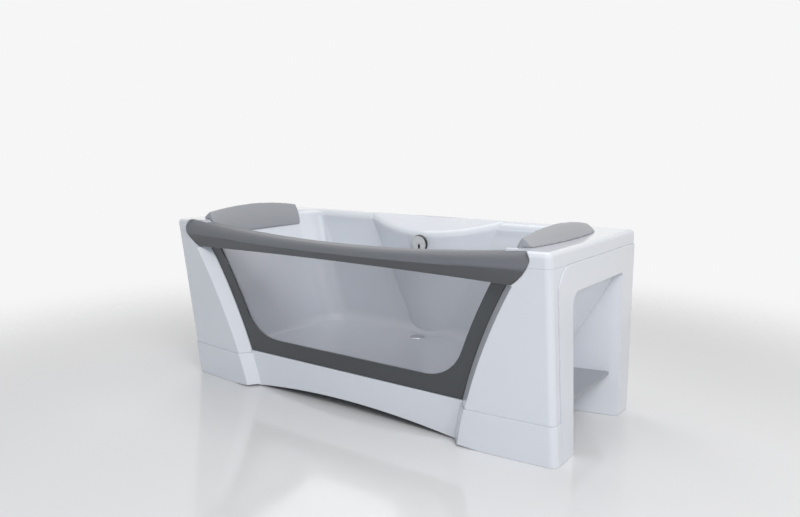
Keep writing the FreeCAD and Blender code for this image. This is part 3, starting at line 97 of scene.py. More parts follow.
# Name, size, place, colour, and whether glossy surfaces mirror the lamp. The first three would
# leave streaks in the basin's corners and a patch on the floor.
LAMPS = (("key", (2.4, 2.0), (3.2, -1.7, 2.5), WHITE_LIGHT, False),
         ("front", (3.2, 2.6), (3.4, -3.3, 4.0), WHITE_LIGHT, False),
         ("back", (2.4, 2.0), (-3.0, 2.2, 2.6), WHITE_LIGHT, False),
         ("top", (3.4, 2.0), (0.0, 0.3, 3.2), WHITE_LIGHT, True),
         ("fill", (2.4, 1.4), (-0.6, -3.4, 1.0), COOL_LIGHT, True))
CAMERA_PLACE = (1.6858, -2.2492, 0.9913)
CAMERA_TILT = 81.045
CAMERA_HEADING = 35.939
CAMERA_LENS_MM = 32.32
CAMERA_SENSOR_MM = 36.0


class BathColours(bpy.types.PropertyGroup):
    """Colours of the bath's finishes."""
    acrylic: bpy.props.FloatVectorProperty(
        name="Acrylic", description="Sanitary acrylic of the basin and panels",
        subtype="COLOR", size=3, min=0, max=1, default=(0.77, 0.8, 0.86))
    rail: bpy.props.FloatVectorProperty(
        name="Hand rail", description="Foam skin of the hand rail",
        subtype="COLOR", size=3, min=0, max=1, default=(0.15, 0.158, 0.175))
    # Painted shade: a darker tone for where the rail's skin faces down, standing in for the shade
    # under the rail.
    rail_painted_shade: bpy.props.FloatVectorProperty(
        name="Hand rail's underside", description="Darker carrier below the rail's crease",
        subtype="COLOR", size=3, min=0, max=1, default=(0.098, 0.104, 0.114))
    headrest: bpy.props.FloatVectorProperty(
        name="Headrests", description="Foam skin of the headrests",
        subtype="COLOR", size=3, min=0, max=1, default=(0.375, 0.385, 0.41))
    knob: bpy.props.FloatVectorProperty(
        name="Knob", description="Satin face of the overflow knob",
        subtype="COLOR", size=3, min=0, max=1, default=(0.72, 0.73, 0.75))
    # Painted reflection: a near-black tone on the knob's side, standing in for the dark reflection
    # seen there.
    knob_painted_reflection: bpy.props.FloatVectorProperty(
        name="Knob's side", description="Dark grip around the overflow knob",
        subtype="COLOR", size=3, min=0, max=1, default=(0.012, 0.012, 0.014))
    bezel: bpy.props.FloatVectorProperty(
        name="Window frame", description="Moulded frame around the glass",
        subtype="COLOR", size=3, min=0, max=1, default=(0.05, 0.055, 0.062))
    glass: bpy.props.FloatVectorProperty(
        name="Glass", description="Tint of the window",
        subtype="COLOR", size=3, min=0, max=1, default=(0.59, 0.59, 0.603))
    shelf: bpy.props.FloatVectorProperty(
        name="Shelves", description="Shelves in the two niches",
        subtype="COLOR", size=3, min=0, max=1, default=(0.33, 0.35, 0.38))
    steel_paint: bpy.props.FloatVectorProperty(
        name="Support frame", description="Powder coat of the support frame",
        subtype="COLOR", size=3, min=0, max=1, default=(0.13, 0.135, 0.145))
    pipe: bpy.props.FloatVectorProperty(
        name="Pipes", description="Plastic of the waste, trap and overflow",
        subtype="COLOR", size=3, min=0, max=1, default=(0.76, 0.76, 0.74))
    chrome: bpy.props.FloatVectorProperty(
        name="Chrome", description="Polished chrome of the waste and the overflow's collar",
        subtype="COLOR", size=3, min=0, max=1, default=(0.78, 0.79, 0.81))
    zinc: bpy.props.FloatVectorProperty(
        name="Zinc", description="Plating of the bolts, screws, studs and pins",
        subtype="COLOR", size=3, min=0, max=1, default=(0.55, 0.56, 0.58))
    rubber: bpy.props.FloatVectorProperty(
        name="Rubber", description="Seals and the jacket of the control cable",
        subtype="COLOR", size=3, min=0, max=1, default=(0.025, 0.025, 0.027))
    nylon: bpy.props.FloatVectorProperty(
        name="Nylon", description="Feet, grommets and shelf pins",
        subtype="COLOR", size=3, min=0, max=1, default=(0.08, 0.082, 0.09))
    board: bpy.props.FloatVectorProperty(
        name="Base board", description="Board bonded under the basin",
        subtype="COLOR", size=3, min=0, max=1, default=(0.5, 0.37, 0.24))
    board_grain: bpy.props.FloatVectorProperty(
        name="Base board's grain", description="Darker grain of the base board",
        subtype="COLOR", size=3, min=0, max=1, default=(0.3, 0.222, 0.144))
    floor: bpy.props.FloatVectorProperty(
        name="Floor", description="Studio floor",
        subtype="COLOR", size=3, min=0, max=1, default=(0.86, 0.86, 0.865))
    backdrop: bpy.props.FloatVectorProperty(
        name="Backdrop", description="Colour that the camera sees behind the bath",
        subtype="COLOR", size=3, min=0, max=1, default=(0.922, 0.922, 0.922))


class BathSizes(bpy.types.PropertyGroup):
    """Sizes of the details that the dressing adds."""
    edge_softness: bpy.props.FloatProperty(
        name="Edge softness", description="Radius that softens the acrylic's edges",
        subtype="DISTANCE", min=0.0, default=0.0045)
    trim_softness: bpy.props.FloatProperty(
        name="Trim's softness", description="Radius that softens the edges of trim and frame",
        subtype="DISTANCE", min=0.0, default=0.00225)
    metal_softness: bpy.props.FloatProperty(
        name="Metal's softness", description="Radius that softens the knob and the chrome",
        subtype="DISTANCE", min=0.0, default=0.0015)
    join_distance: bpy.props.FloatProperty(
        name="Join distance", description="Corners closer than this become one",
        subtype="DISTANCE", min=0.0, precision=6, default=0.00001)
    crease_angle: bpy.props.FloatProperty(
        name="Crease angle", description="Sharper edges than this stay crisp",
        subtype="ANGLE", default=math.radians(32))
    pad_voxel: bpy.props.FloatProperty(
        name="Headrest mesh", description="Mesh size that the headrests are remade at",
        subtype="DISTANCE", min=0.001, default=0.004)
    pad_rounding: bpy.props.IntProperty(
        name="Headrest rounding", description="Smoothing steps that round the foam's edges",
        min=0, default=4)
    foot_rib_count: bpy.props.IntProperty(
        name="Foot ribs", description="Grip ribs around each levelling foot", min=3, default=28)
    foot_rib_width: bpy.props.FloatProperty(
        name="Foot rib width", description="Width of one grip rib",
        subtype="DISTANCE", default=0.0022)
    foot_rib_height: bpy.props.FloatProperty(
        name="Foot rib height", description="Height of one grip rib",
        subtype="DISTANCE", default=0.0055)
    foot_rib_level: bpy.props.FloatProperty(
        name="Foot rib level", description="Place of the ribs, as a share of the foot's height",
        subtype="FACTOR", min=0.0, max=1.0, default=0.42)
    foot_rib_reach: bpy.props.FloatProperty(
        name="Foot rib reach", description="Ribs' ring, as a share of the foot's radius",
        subtype="FACTOR", min=0.0, max=1.0, default=0.78)


class StudioLights(bpy.types.PropertyGroup):
    """Strengths of the studio's lamps."""
    sky: bpy.props.FloatProperty(
        name="Sky", description="Even light from all around", min=0.0, default=0.15)
    key: bpy.props.FloatProperty(
        name="Key lamp", description="Large lamp high on the right",
        subtype="POWER", min=0.0, default=50.0)
    front: bpy.props.FloatProperty(
        name="Front lamp", description="Large, far lamp in front on the right",
        subtype="POWER", min=0.0, default=118.0)
    back: bpy.props.FloatProperty(
        name="Back lamp", description="Lamp behind on the left, for the rim and the right slope",
        subtype="POWER", min=0.0, default=36.0)
    top: bpy.props.FloatProperty(
        name="Top lamp", description="Overhead lamp", subtype="POWER", min=0.0, default=29.0)
    fill: bpy.props.FloatProperty(
        name="Fill lamp", description="Cool, weak lamp low in front",
        subtype="POWER", min=0.0, default=13.0)


def colours():
    return bpy.context.scene.bath_colours


def sizes():
    return bpy.context.scene.bath_sizes


def lights():
    return bpy.context.scene.studio_lights


# Shader parts


def new_group(name, outputs, inputs):
    group = bpy.data.node_groups.new(name, "ShaderNodeTree")
    for label, kind, value in inputs:
        socket = group.interface.new_socket(label, in_out="INPUT", socket_type=kind)
        socket.default_value = value
    for label, kind in outputs:
        group.interface.new_socket(label, in_out="OUTPUT", socket_type=kind)
    start = group.nodes.new("NodeGroupInput")
    end = group.nodes.new("NodeGroupOutput")
    return group, start, end


def tone_group():
    """Slow drift of tone and gloss over a moulded or painted surface."""
    name = "Moulded tone"
    if name in bpy.data.node_groups:
        return bpy.data.node_groups[name]
    group, start, end = new_group(
        name, [("Color", "NodeSocketColor"), ("Roughness", "NodeSocketFloat")],
        [("Color", "NodeSocketColor", (0.8, 0.8, 0.8, 1)), ("Drift", "NodeSocketFloat", 0.04),
         ("Scale", "NodeSocketFloat", 3.0), ("Roughness", "NodeSocketFloat", 0.3),
         ("Roughness drift", "NodeSocketFloat", 0.05)])
    nodes, links = group.nodes, group.links
    place = nodes.new("ShaderNodeTexCoord")
    noise = nodes.new("ShaderNodeTexNoise")
    noise.inputs["Detail"].default_value = 3.0
    links.new(place.outputs["Object"], noise.inputs["Vector"])
    links.new(start.outputs["Scale"], noise.inputs["Scale"])
    centred = nodes.new("ShaderNodeMath")
    centred.operation = "SUBTRACT"
    centred.inputs[1].default_value = 0.5
    links.new(noise.outputs["Fac"], centred.inputs[0])
    drift = nodes.new("ShaderNodeMath")
    drift.operation = "MULTIPLY_ADD"
    drift.inputs[2].default_value = 1.0
    links.new(centred.outputs[0], drift.inputs[0])
    links.new(start.outputs["Drift"], drift.inputs[1])
    tone = nodes.new("ShaderNodeHueSaturation")
    links.new(start.outputs["Color"], tone.inputs["Color"])
    links.new(drift.outputs[0], tone.inputs["Value"])
    gloss = nodes.new("ShaderNodeMath")
    gloss.operation = "MULTIPLY_ADD"
    links.new(centred.outputs[0], gloss.inputs[0])
    links.new(start.outputs["Roughness drift"], gloss.inputs[1])
    links.new(start.outputs["Roughness"], gloss.inputs[2])
    links.new(tone.outputs["Color"], end.inputs["Color"])
    links.new(gloss.outputs[0], end.inputs["Roughness"])
    return group


def grain_group():
    """Fine pebbled grain of foam skins and moulded plastic, as a bump height."""
    name = "Pebbled grain"
    if name in bpy.data.node_groups:
        return bpy.data.node_groups[name]
    group, start, end = new_group(
        name, [("Height", "NodeSocketFloat")],
        [("Scale", "NodeSocketFloat", 600.0), ("Softness", "NodeSocketFloat", 0.4)])
    nodes, links = group.nodes, group.links
    place = nodes.new("ShaderNodeTexCoord")
    cells = nodes.new("ShaderNodeTexVoronoi")
    cells.feature = "SMOOTH_F1"
    links.new(place.outputs["Object"], cells.inputs["Vector"])
    links.new(start.outputs["Scale"], cells.inputs["Scale"])
    links.new(start.outputs["Softness"], cells.inputs["Smoothness"])
    links.new(cells.outputs["Distance"], end.inputs["Height"])
    return group


def facing_group():
    """Two colours, mixed by how far the surface faces a direction; it paints the rail's shade and
    the knob's dark reflection.
    """
    name = "Tone by facing"
    if name in bpy.data.node_groups:
        return bpy.data.node_groups[name]
    group, start, end = new_group(
        name, [("Color", "NodeSocketColor")],
        [("Direction", "NodeSocketVector", (0.0, 0.0, 1.0)), ("From", "NodeSocketFloat", 0.0),
         ("To", "NodeSocketFloat", 1.0), ("Away", "NodeSocketColor", (0.1, 0.1, 0.1, 1)),
         ("Towards", "NodeSocketColor", (0.8, 0.8, 0.8, 1))])
    nodes, links = group.nodes, group.links
    place = nodes.new("ShaderNodeTexCoord")
    facing = nodes.new("ShaderNodeVectorMath")
    facing.operation = "DOT_PRODUCT"
    share = nodes.new("ShaderNodeMapRange")
    mix = nodes.new("ShaderNodeMix")
    mix.data_type = "RGBA"
    links.new(place.outputs["Normal"], facing.inputs[0])
    links.new(start.outputs["Direction"], facing.inputs[1])
    links.new(facing.outputs["Value"], share.inputs["Value"])
    links.new(start.outputs["From"], share.inputs["From Min"])
    links.new(start.outputs["To"], share.inputs["From Max"])
    links.new(share.outputs["Result"], mix.inputs["Factor"])
    links.new(start.outputs["Away"], mix.inputs["A"])
    links.new(start.outputs["Towards"], mix.inputs["B"])
    links.new(mix.outputs["Result"], end.inputs["Color"])
    return group


def principled(name):
    material = bpy.data.materials.new(name)
    material.use_nodes = True
    return material, material.node_tree, material.node_tree.nodes["Principled BSDF"]


def add_tone(tree, shader, colour, roughness, drift=0.04, scale=3.0, roughness_drift=0.05):
    tone = tree.nodes.new("ShaderNodeGroup")
    tone.node_tree = tone_group()
    tone.inputs["Color"].default_value = (*colour, 1)
    tone.inputs["Drift"].default_value = drift
    tone.inputs["Scale"].default_value = scale
    tone.inputs["Roughness"].default_value = roughness
    tone.inputs["Roughness drift"].default_value = roughness_drift
    tree.links.new(tone.outputs["Color"], shader.inputs["Base Color"])
    tree.links.new(tone.outputs["Roughness"], shader.inputs["Roughness"])
    return tone


def add_facing(tree, tone, direction, span, away, towards):
    facing = tree.nodes.new("ShaderNodeGroup")
    facing.node_tree = facing_group()
    facing.inputs["Direction"].default_value = direction
    facing.inputs["From"].default_value, facing.inputs["To"].default_value = span
    facing.inputs["Away"].default_value = (*away, 1)
    facing.inputs["Towards"].default_value = (*towards, 1)
    tree.links.new(facing.outputs["Color"], tone.inputs["Color"])


def add_grain(tree, shader, scale, strength, normal=None):
    grain = tree.nodes.new("ShaderNodeGroup")
    grain.node_tree = grain_group()
    grain.inputs["Scale"].default_value = scale
    bump = tree.nodes.new("ShaderNodeBump")
    bump.inputs["Strength"].default_value = strength
    bump.inputs["Distance"].default_value = 0.0004
    tree.links.new(grain.outputs["Height"], bump.inputs["Height"])
    if normal is not None:
        tree.links.new(normal, bump.inputs["Normal"])
    tree.links.new(bump.outputs["Normal"], shader.inputs["Normal"])


def soft_edges(tree, radius):
    edge = tree.nodes.new("ShaderNodeBevel")
    edge.samples = 6
    edge.inputs["Radius"].default_value = radius
    return edge.outputs["Normal"]


def acrylic_material():
    material, tree, shader = principled("sanitary_acrylic")
    add_tone(tree, shader, colours().acrylic, roughness=0.12, drift=0.012, scale=1.3,
             roughness_drift=0.03)
    shader.inputs["IOR"].default_value = 1.49
    shader.inputs["Coat Weight"].default_value = 0.7
    shader.inputs["Coat Roughness"].default_value = 0.05
    tree.links.new(soft_edges(tree, sizes().edge_softness), shader.inputs["Normal"])
    return material


def rail_material():
    """Foam skin with painted shade: darker where it faces down below the rail's crease."""
    material, tree, shader = principled("rail_foam_skin")
    tone = add_tone(tree, shader, colours().rail, roughness=0.42, drift=0.05, scale=4.0)
    # Painted shade: faces turned down take the darker tone.
    add_facing(tree, tone, direction=(0.0, 0.0, 1.0), span=(-0.3, -0.12),
               away=colours().rail_painted_shade, towards=colours().rail)
    shader.inputs["Sheen Weight"].default_value = 0.12
    shader.inputs["Sheen Roughness"].default_value = 0.45
    add_grain(tree, shader, scale=520.0, strength=0.25,
              normal=soft_edges(tree, sizes().edge_softness))
    return material


def knob_material():
    """Pale satin face, with a painted dark reflection around its side."""
    material, tree, shader = principled("satin_knob")
    tone = add_tone(tree, shader, colours().knob, roughness=0.3, drift=0.03, scale=20.0)
    turn = next(joint for joint in frame["joints"] if joint["name"] == "overflow_turn")
    # Painted reflection: the side, which faces away from the knob's axis, takes the near-black
    # tone.
    add_facing(tree, tone, direction=turn["axis"], span=(0.55, 0.85),
               away=colours().knob_painted_reflection, towards=colours().knob)
    tree.links.new(soft_edges(tree, sizes().metal_softness), shader.inputs["Normal"])
    return material


def headrest_material():
    material, tree, shader = principled("headrest_foam_skin")
    add_tone(tree, shader, colours().headrest, roughness=0.5, drift=0.05, scale=6.0)
    shader.inputs["Sheen Weight"].default_value = 0.15
    shader.inputs["Sheen Roughness"].default_value = 0.5
    add_grain(tree, shader, scale=420.0, strength=0.3)
    return material


def bezel_material():
    material, tree, shader = principled("window_bezel")
    add_tone(tree, shader, colours().bezel, roughness=0.24, drift=0.08, scale=5.0)
    shader.inputs["Coat Weight"].default_value = 0.25
    shader.inputs["Coat Roughness"].default_value = 0.12
    add_grain(tree, shader, scale=900.0, strength=0.06,
              normal=soft_edges(tree, sizes().trim_softness))
    return material


def glass_material():
    material, tree, shader = principled("window_glass")
    shader.inputs["Base Color"].default_value = (*colours().glass, 1)
    shader.inputs["Transmission Weight"].default_value = 1.0
    shader.inputs["IOR"].default_value = 1.48
    noise = tree.nodes.new("ShaderNodeTexNoise")
    place = tree.nodes.new("ShaderNodeTexCoord")
    span = tree.nodes.new("ShaderNodeMapRange")
    noise.inputs["Scale"].default_value = 2.0
    span.inputs["To Min"].default_value = 0.0
    span.inputs["To Max"].default_value = 0.015
    tree.links.new(place.outputs["Object"], noise.inputs["Vector"])
    tree.links.new(noise.outputs["Fac"], span.inputs["Value"])
    tree.links.new(span.outputs["Result"], shader.inputs["Roughness"])
    return material


def shelf_material():
    material, tree, shader = principled("satin_shelf")
    add_tone(tree, shader, colours().shelf, roughness=0.32, drift=0.06, scale=7.0)
    add_grain(tree, shader, scale=700.0, strength=0.12,
              normal=soft_edges(tree, sizes().trim_softness))
    return material


def chrome_material():
    material, tree, shader = principled("polished_chrome")
    add_tone(tree, shader, colours().chrome, roughness=0.06, drift=0.03, scale=20.0,
             roughness_drift=0.03)
    shader.inputs["Metallic"].default_value = 1.0
    tree.links.new(soft_edges(tree, sizes().metal_softness), shader.inputs["Normal"])
    return material


def zinc_material():
    material, tree, shader = principled("zinc_plate")
    add_tone(tree, shader, colours().zinc, roughness=0.34, drift=0.18, scale=60.0,
             roughness_drift=0.15)
    shader.inputs["Metallic"].default_value = 1.0
    return material


def coat_material():
    material, tree, shader = principled("powder_coat")
    add_tone(tree, shader, colours().steel_paint, roughness=0.48, drift=0.08, scale=9.0)
    add_grain(tree, shader, scale=800.0, strength=0.3,
              normal=soft_edges(tree, sizes().trim_softness))
    return material


def rubber_material():
    material, tree, shader = principled("black_rubber")
    add_tone(tree, shader, colours().rubber, roughness=0.62, drift=0.1, scale=15.0)
    add_grain(tree, shader, scale=900.0, strength=0.2)
    return material


def pipe_material():
    material, tree, shader = principled("pipe_plastic")
    add_tone(tree, shader, colours().pipe, roughness=0.33, drift=0.03, scale=10.0)
    add_grain(tree, shader, scale=700.0, strength=0.06)
    return material


def moulded_material():
    material, tree, shader = principled("moulded_nylon")
    add_tone(tree, shader, colours().nylon, roughness=0.45, drift=0.08, scale=18.0)
    add_grain(tree, shader, scale=800.0, strength=0.25)
    return material


def board_material():
    material, tree, shader = principled("base_board")
    place = tree.nodes.new("ShaderNodeTexCoord")
    stretch = tree.nodes.new("ShaderNodeMapping")
    stretch.inputs["Scale"].default_value = (2.0, 24.0, 24.0)
    grain = tree.nodes.new("ShaderNodeTexNoise")
    grain.inputs["Scale"].default_value = 3.0
    grain.inputs["Detail"].default_value = 6.0
    ramp = tree.nodes.new("ShaderNodeValToRGB")
    ramp.color_ramp.elements[0].position = 0.3
    ramp.color_ramp.elements[0].color = (*colours().board_grain, 1)
    ramp.color_ramp.elements[1].position = 0.72
    ramp.color_ramp.elements[1].color = (*colours().board, 1)
    bump = tree.nodes.new("ShaderNodeBump")
    bump.inputs["Strength"].default_value = 0.15
    bump.inputs["Distance"].default_value = 0.0005
    shader.inputs["Roughness"].default_value = 0.7
    tree.links.new(place.outputs["Object"], stretch.inputs["Vector"])
    tree.links.new(stretch.outputs["Vector"], grain.inputs["Vector"])
    tree.links.new(grain.outputs["Fac"], ramp.inputs["Fac"])
    tree.links.new(ramp.outputs["Color"], shader.inputs["Base Color"])
    tree.links.new(grain.outputs["Fac"], bump.inputs["Height"])
    tree.links.new(bump.outputs["Normal"], shader.inputs["Normal"])
    return material


# Mesh parts


def node_body(node):
    return frame["nodes"][node]["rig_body"]


def set_finish(obj, material):
    obj.data.materials.clear()
    obj.data.materials.append(material)


def finish_nodes(nodes, material):
    for node in nodes:
        set_finish(frame["nodes"][node], material)


def link(obj):
    bpy.context.scene.collection.objects.link(obj)
    return obj


def mesh_from(bm, name):
    mesh = bpy.data.meshes.new(name)
    bm.to_mesh(mesh)
    bm.free()
    return mesh


def merged_mesh(node, name):
    """A CAD node's triangles, joined into one connected surface."""
    bm = bmesh.new()
    bm.from_mesh(frame["nodes"][node].data)
    bmesh.ops.remove_doubles(bm, verts=bm.verts, dist=sizes().join_distance)
    mesh = mesh_from(bm, name)
    if "custom_normal" in mesh.attributes:
        mesh.attributes.remove(mesh.attributes["custom_normal"])
    return mesh


def shade_by_angle(mesh, angle):
    mesh.polygons.foreach_set("use_smooth", [True] * len(mesh.polygons))
    mesh.set_sharp_from_angle(angle=angle)


def skin(node, name, material):
    """Smoothly shaded skin that stands for one CAD node."""
    mesh = merged_mesh(node, name)
    shade_by_angle(mesh, sizes().crease_angle)
    piece = link(bpy.data.objects.new(name, mesh))
    weighted = piece.modifiers.new("even_shading", "WEIGHTED_NORMAL")
    weighted.keep_sharp = True
    set_finish(piece, material)
    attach(piece, node_body(node))
    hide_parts(node)
    return piece


def plain_copy(obj, name):
    """The object as its modifiers leave it, as a plain mesh object."""
    graph = bpy.context.evaluated_depsgraph_get()
    mesh = bpy.data.meshes.new_from_object(obj.evaluated_get(graph), depsgraph=graph)
    mesh.name = name
    return link(bpy.data.objects.new(name, mesh))


def drop(obj):
    mesh = obj.data
    bpy.data.objects.remove(obj)
    if mesh.users == 0:
        bpy.data.meshes.remove(mesh)


class BATH_OT_acrylic_body(bpy.types.Operator):
    """Dress the basin, its panels and the back in glossy acrylic"""
    bl_idname = "bath.acrylic_body"
    bl_label = "Acrylic body"

    def execute(self, context):
        material = acrylic_material()
        for node in WHITE_NODES:
            skin(node, node + "_skin", material)
        return {"FINISHED"}


class BATH_OT_window(bpy.types.Operator):
    """Dress the window's bezel and its pane"""
    bl_idname = "bath.window"
    bl_label = "Window"

    def execute(self, context):
        skin("window_frame", "window_bezel", bezel_material())
        finish_nodes(["window_glass"], glass_material())
        return {"FINISHED"}


class BATH_OT_hand_rail(bpy.types.Operator):
    """Dress the hand rail in its foam skin"""
    bl_idname = "bath.hand_rail"
    bl_label = "Hand rail"

    def execute(self, context):
        skin("top_rail", "hand_rail_skin", rail_material())
        return {"FINISHED"}


def headrest(side, material):
    """Foam headrest: the CAD form with rounded edges and a soft, even surface."""
    node = "headrest_pad_" + side
    piece = link(bpy.data.objects.new("headrest_" + side, merged_mesh(node, "headrest_" + side)))
    remake = piece.modifiers.new("remake", "REMESH")
    remake.mode = "VOXEL"
    remake.voxel_size = sizes().pad_voxel
    rounding = piece.modifiers.new("rounding", "SMOOTH")
    rounding.factor = 0.5
    rounding.iterations = sizes().pad_rounding
    foam = plain_copy(piece, "headrest_foam_" + side)
    drop(piece)
    foam.data.polygons.foreach_set("use_smooth", [True] * len(foam.data.polygons))
    set_finish(foam, material)
    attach(foam, node_body(node))
    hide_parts(node)
    return foam


class BATH_OT_headrests(bpy.types.Operator):
    """Make the two foam headrests"""
    bl_idname = "bath.headrests"
    bl_label = "Headrests"

    def execute(self, context):
        material = headrest_material()
        for side in SIDES:
            headrest(side, material)
        return {"FINISHED"}


class BATH_OT_shelves(bpy.types.Operator):
    """Dress the two shelves in the end niches"""
    bl_idname = "bath.shelves"
    bl_label = "Shelves"

    def execute(self, context):
        material = shelf_material()
        for side in SIDES:
            skin("shelf_" + side, "shelf_plate_" + side, material)
        return {"FINISHED"}


class BATH_OT_waste_and_overflow(bpy.types.Operator):
    """Dress the waste, the overflow and their pipes"""
    bl_idname = "bath.waste_and_overflow"
    bl_label = "Waste and overflow"

    def execute(self, context):
        chrome = chrome_material()
        pipe = pipe_material()
        for node in CHROME_NODES:
            skin(node, node + "_chrome", chrome)
        skin("overflow_knob", "overflow_knob_cap", knob_material())
        for node in PIPE_NODES:
            skin(node, node + "_moulding", pipe)
        finish_nodes(RUBBER_NODES, rubber_material())
        return {"FINISHED"}


class BATH_OT_support_frame(bpy.types.Operator):
    """Dress the steel support frame, its bolts and the base board"""
    bl_idname = "bath.support_frame"
    bl_label = "Support frame"

    def execute(self, context):
        finish_nodes(STEEL_FRAME_NODES, coat_material())
        finish_nodes(ZINC_NODES, zinc_material())
        finish_nodes(MOULDED_NODES, moulded_material())
        finish_nodes(["base_board"], board_material())
        return {"FINISHED"}


def rib_ring_tree():
    """Geometry Nodes: grip ribs set around a round foot."""
    tree = bpy.data.node_groups.new("Ribs around a foot", "GeometryNodeTree")
    face = tree.interface
    face.new_socket("Geometry", in_out="INPUT", socket_type="NodeSocketGeometry")
    for label, kind, value in (("Count", "NodeSocketInt", 28), ("Radius", "NodeSocketFloat", 0.02),
                               ("Width", "NodeSocketFloat", 0.002),
                               ("Height", "NodeSocketFloat", 0.005),
                               ("Level", "NodeSocketFloat", 0.004)):
        face.new_socket(label, in_out="INPUT", socket_type=kind).default_value = value
    face.new_socket("Centre", in_out="INPUT", socket_type="NodeSocketVector")
    face.new_socket("Finish", in_out="INPUT", socket_type="NodeSocketMaterial")
    face.new_socket("Geometry", in_out="OUTPUT", socket_type="NodeSocketGeometry")
    nodes, links = tree.nodes, tree.links
    start = nodes.new("NodeGroupInput")
    end = nodes.new("NodeGroupOutput")
    ring = nodes.new("GeometryNodeMeshCircle")
    links.new(start.outputs["Count"], ring.inputs["Vertices"])
    links.new(start.outputs["Radius"], ring.inputs["Radius"])
    size = nodes.new("ShaderNodeCombineXYZ")
    links.new(start.outputs["Width"], size.inputs["X"])
    links.new(start.outputs["Width"], size.inputs["Y"])
    links.new(start.outputs["Height"], size.inputs["Z"])
    rib = nodes.new("GeometryNodeMeshCube")
    links.new(size.outputs["Vector"], rib.inputs["Size"])
    place = nodes.new("GeometryNodeInputPosition")
    turn = nodes.new("FunctionNodeAlignRotationToVector")
    turn.axis = "X"
    turn.pivot_axis = "Z"
    links.new(place.outputs["Position"], turn.inputs["Vector"])
    spread = nodes.new("GeometryNodeInstanceOnPoints")
    links.new(ring.outputs["Mesh"], spread.inputs["Points"])
    links.new(rib.outputs["Mesh"], spread.inputs["Instance"])
    links.new(turn.outputs["Rotation"], spread.inputs["Rotation"])
    real = nodes.new("GeometryNodeRealizeInstances")
    links.new(spread.outputs["Instances"], real.inputs["Geometry"])
    lift = nodes.new("ShaderNodeCombineXYZ")
    links.new(start.outputs["Level"], lift.inputs["Z"])
    shift = nodes.new("ShaderNodeVectorMath")
    shift.operation = "ADD"
    links.new(start.outputs["Centre"], shift.inputs[0])
    links.new(lift.outputs["Vector"], shift.inputs[1])
    move = nodes.new("GeometryNodeTransform")
    links.new(real.outputs["Geometry"], move.inputs["Geometry"])
    links.new(shift.outputs["Vector"], move.inputs["Translation"])
    paint = nodes.new("GeometryNodeSetMaterial")
    links.new(move.outputs["Geometry"], paint.inputs["Geometry"])
    links.new(start.outputs["Finish"], paint.inputs["Material"])
    links.new(paint.outputs["Geometry"], end.inputs["Geometry"])
    return tree


def socket_id(tree, label):
    for item in tree.interface.items_tree:
        if item.name == label and item.in_out == "INPUT":
            return item.identifier
    raise RuntimeError("no input named " + label)


def run_tree(tree, values, name):
    """Evaluate a Geometry Nodes tree once and keep its result as a plain mesh object."""
    carrier = link(bpy.data.objects.new(name + "_carrier", bpy.data.meshes.new(name + "_carrier")))
    modifier = carrier.modifiers.new("tree", "NODES")
    modifier.node_group = tree
    for label, value in values.items():
        modifier[socket_id(tree, label)] = value
    result = plain_copy(carrier, name)
    drop(carrier)
    return result


class BATH_OT_feet(bpy.types.Operator):
    """Make the levelling feet's pads with their grip ribs"""
    bl_idname = "bath.feet"
    bl_label = "Levelling feet"

    def execute(self, context):
        material = moulded_material()
        tree = rib_ring_tree()
        for place in FEET:
            node = "foot_pad_" + place
            set_finish(frame["nodes"][node], material)
            low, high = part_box(node)
            centre = (low + high) / 2
            ribs = run_tree(tree, {
                "Count": sizes().foot_rib_count,
                "Radius": (high.x - low.x) / 2 * sizes().foot_rib_reach,
                "Width": sizes().foot_rib_width,
                "Height": sizes().foot_rib_height,
                "Level": (high.z - low.z) * sizes().foot_rib_level,
                "Centre": (centre.x, centre.y, 0.0),
                "Finish": material,
            }, "foot_grip_" + place)
            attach(ribs, node_body(node))
        return {"FINISHED"}


# Studio


def floor_material():
    """Pale glossy floor that fades into the backdrop far from the bath."""
    material, tree, shader = principled("studio_floor")
    shader.inputs["Base Color"].default_value = (*colours().floor, 1)
    shader.inputs["Roughness"].default_value = 0.11
    shader.inputs["IOR"].default_value = 1.52
    place = tree.nodes.new("ShaderNodeTexCoord")
    reach = tree.nodes.new("ShaderNodeVectorMath")
    reach.operation = "LENGTH"
    fade = tree.nodes.new("ShaderNodeMapRange")
    fade.interpolation_type = "SMOOTHERSTEP"
    fade.inputs["From Min"].default_value = FLOOR_FADE_START
    fade.inputs["From Max"].default_value = FLOOR_FADE_END
    clear = tree.nodes.new("ShaderNodeBsdfTransparent")
    mix = tree.nodes.new("ShaderNodeMixShader")
    output = tree.nodes["Material Output"]
    tree.links.new(place.outputs["Object"], reach.inputs[0])
    tree.links.new(reach.outputs["Value"], fade.inputs["Value"])
    tree.links.new(fade.outputs["Result"], mix.inputs["Fac"])
    tree.links.new(shader.outputs["BSDF"], mix.inputs[1])
    tree.links.new(clear.outputs["BSDF"], mix.inputs[2])
    tree.links.new(mix.outputs["Shader"], output.inputs["Surface"])
    return material


def add_floor():
    bm = bmesh.new()
    bmesh.ops.create_circle(bm, cap_ends=True, segments=96, radius=FLOOR_RADIUS)
    floor = link(bpy.data.objects.new("studio_floor", mesh_from(bm, "studio_floor")))
    set_finish(floor, floor_material())


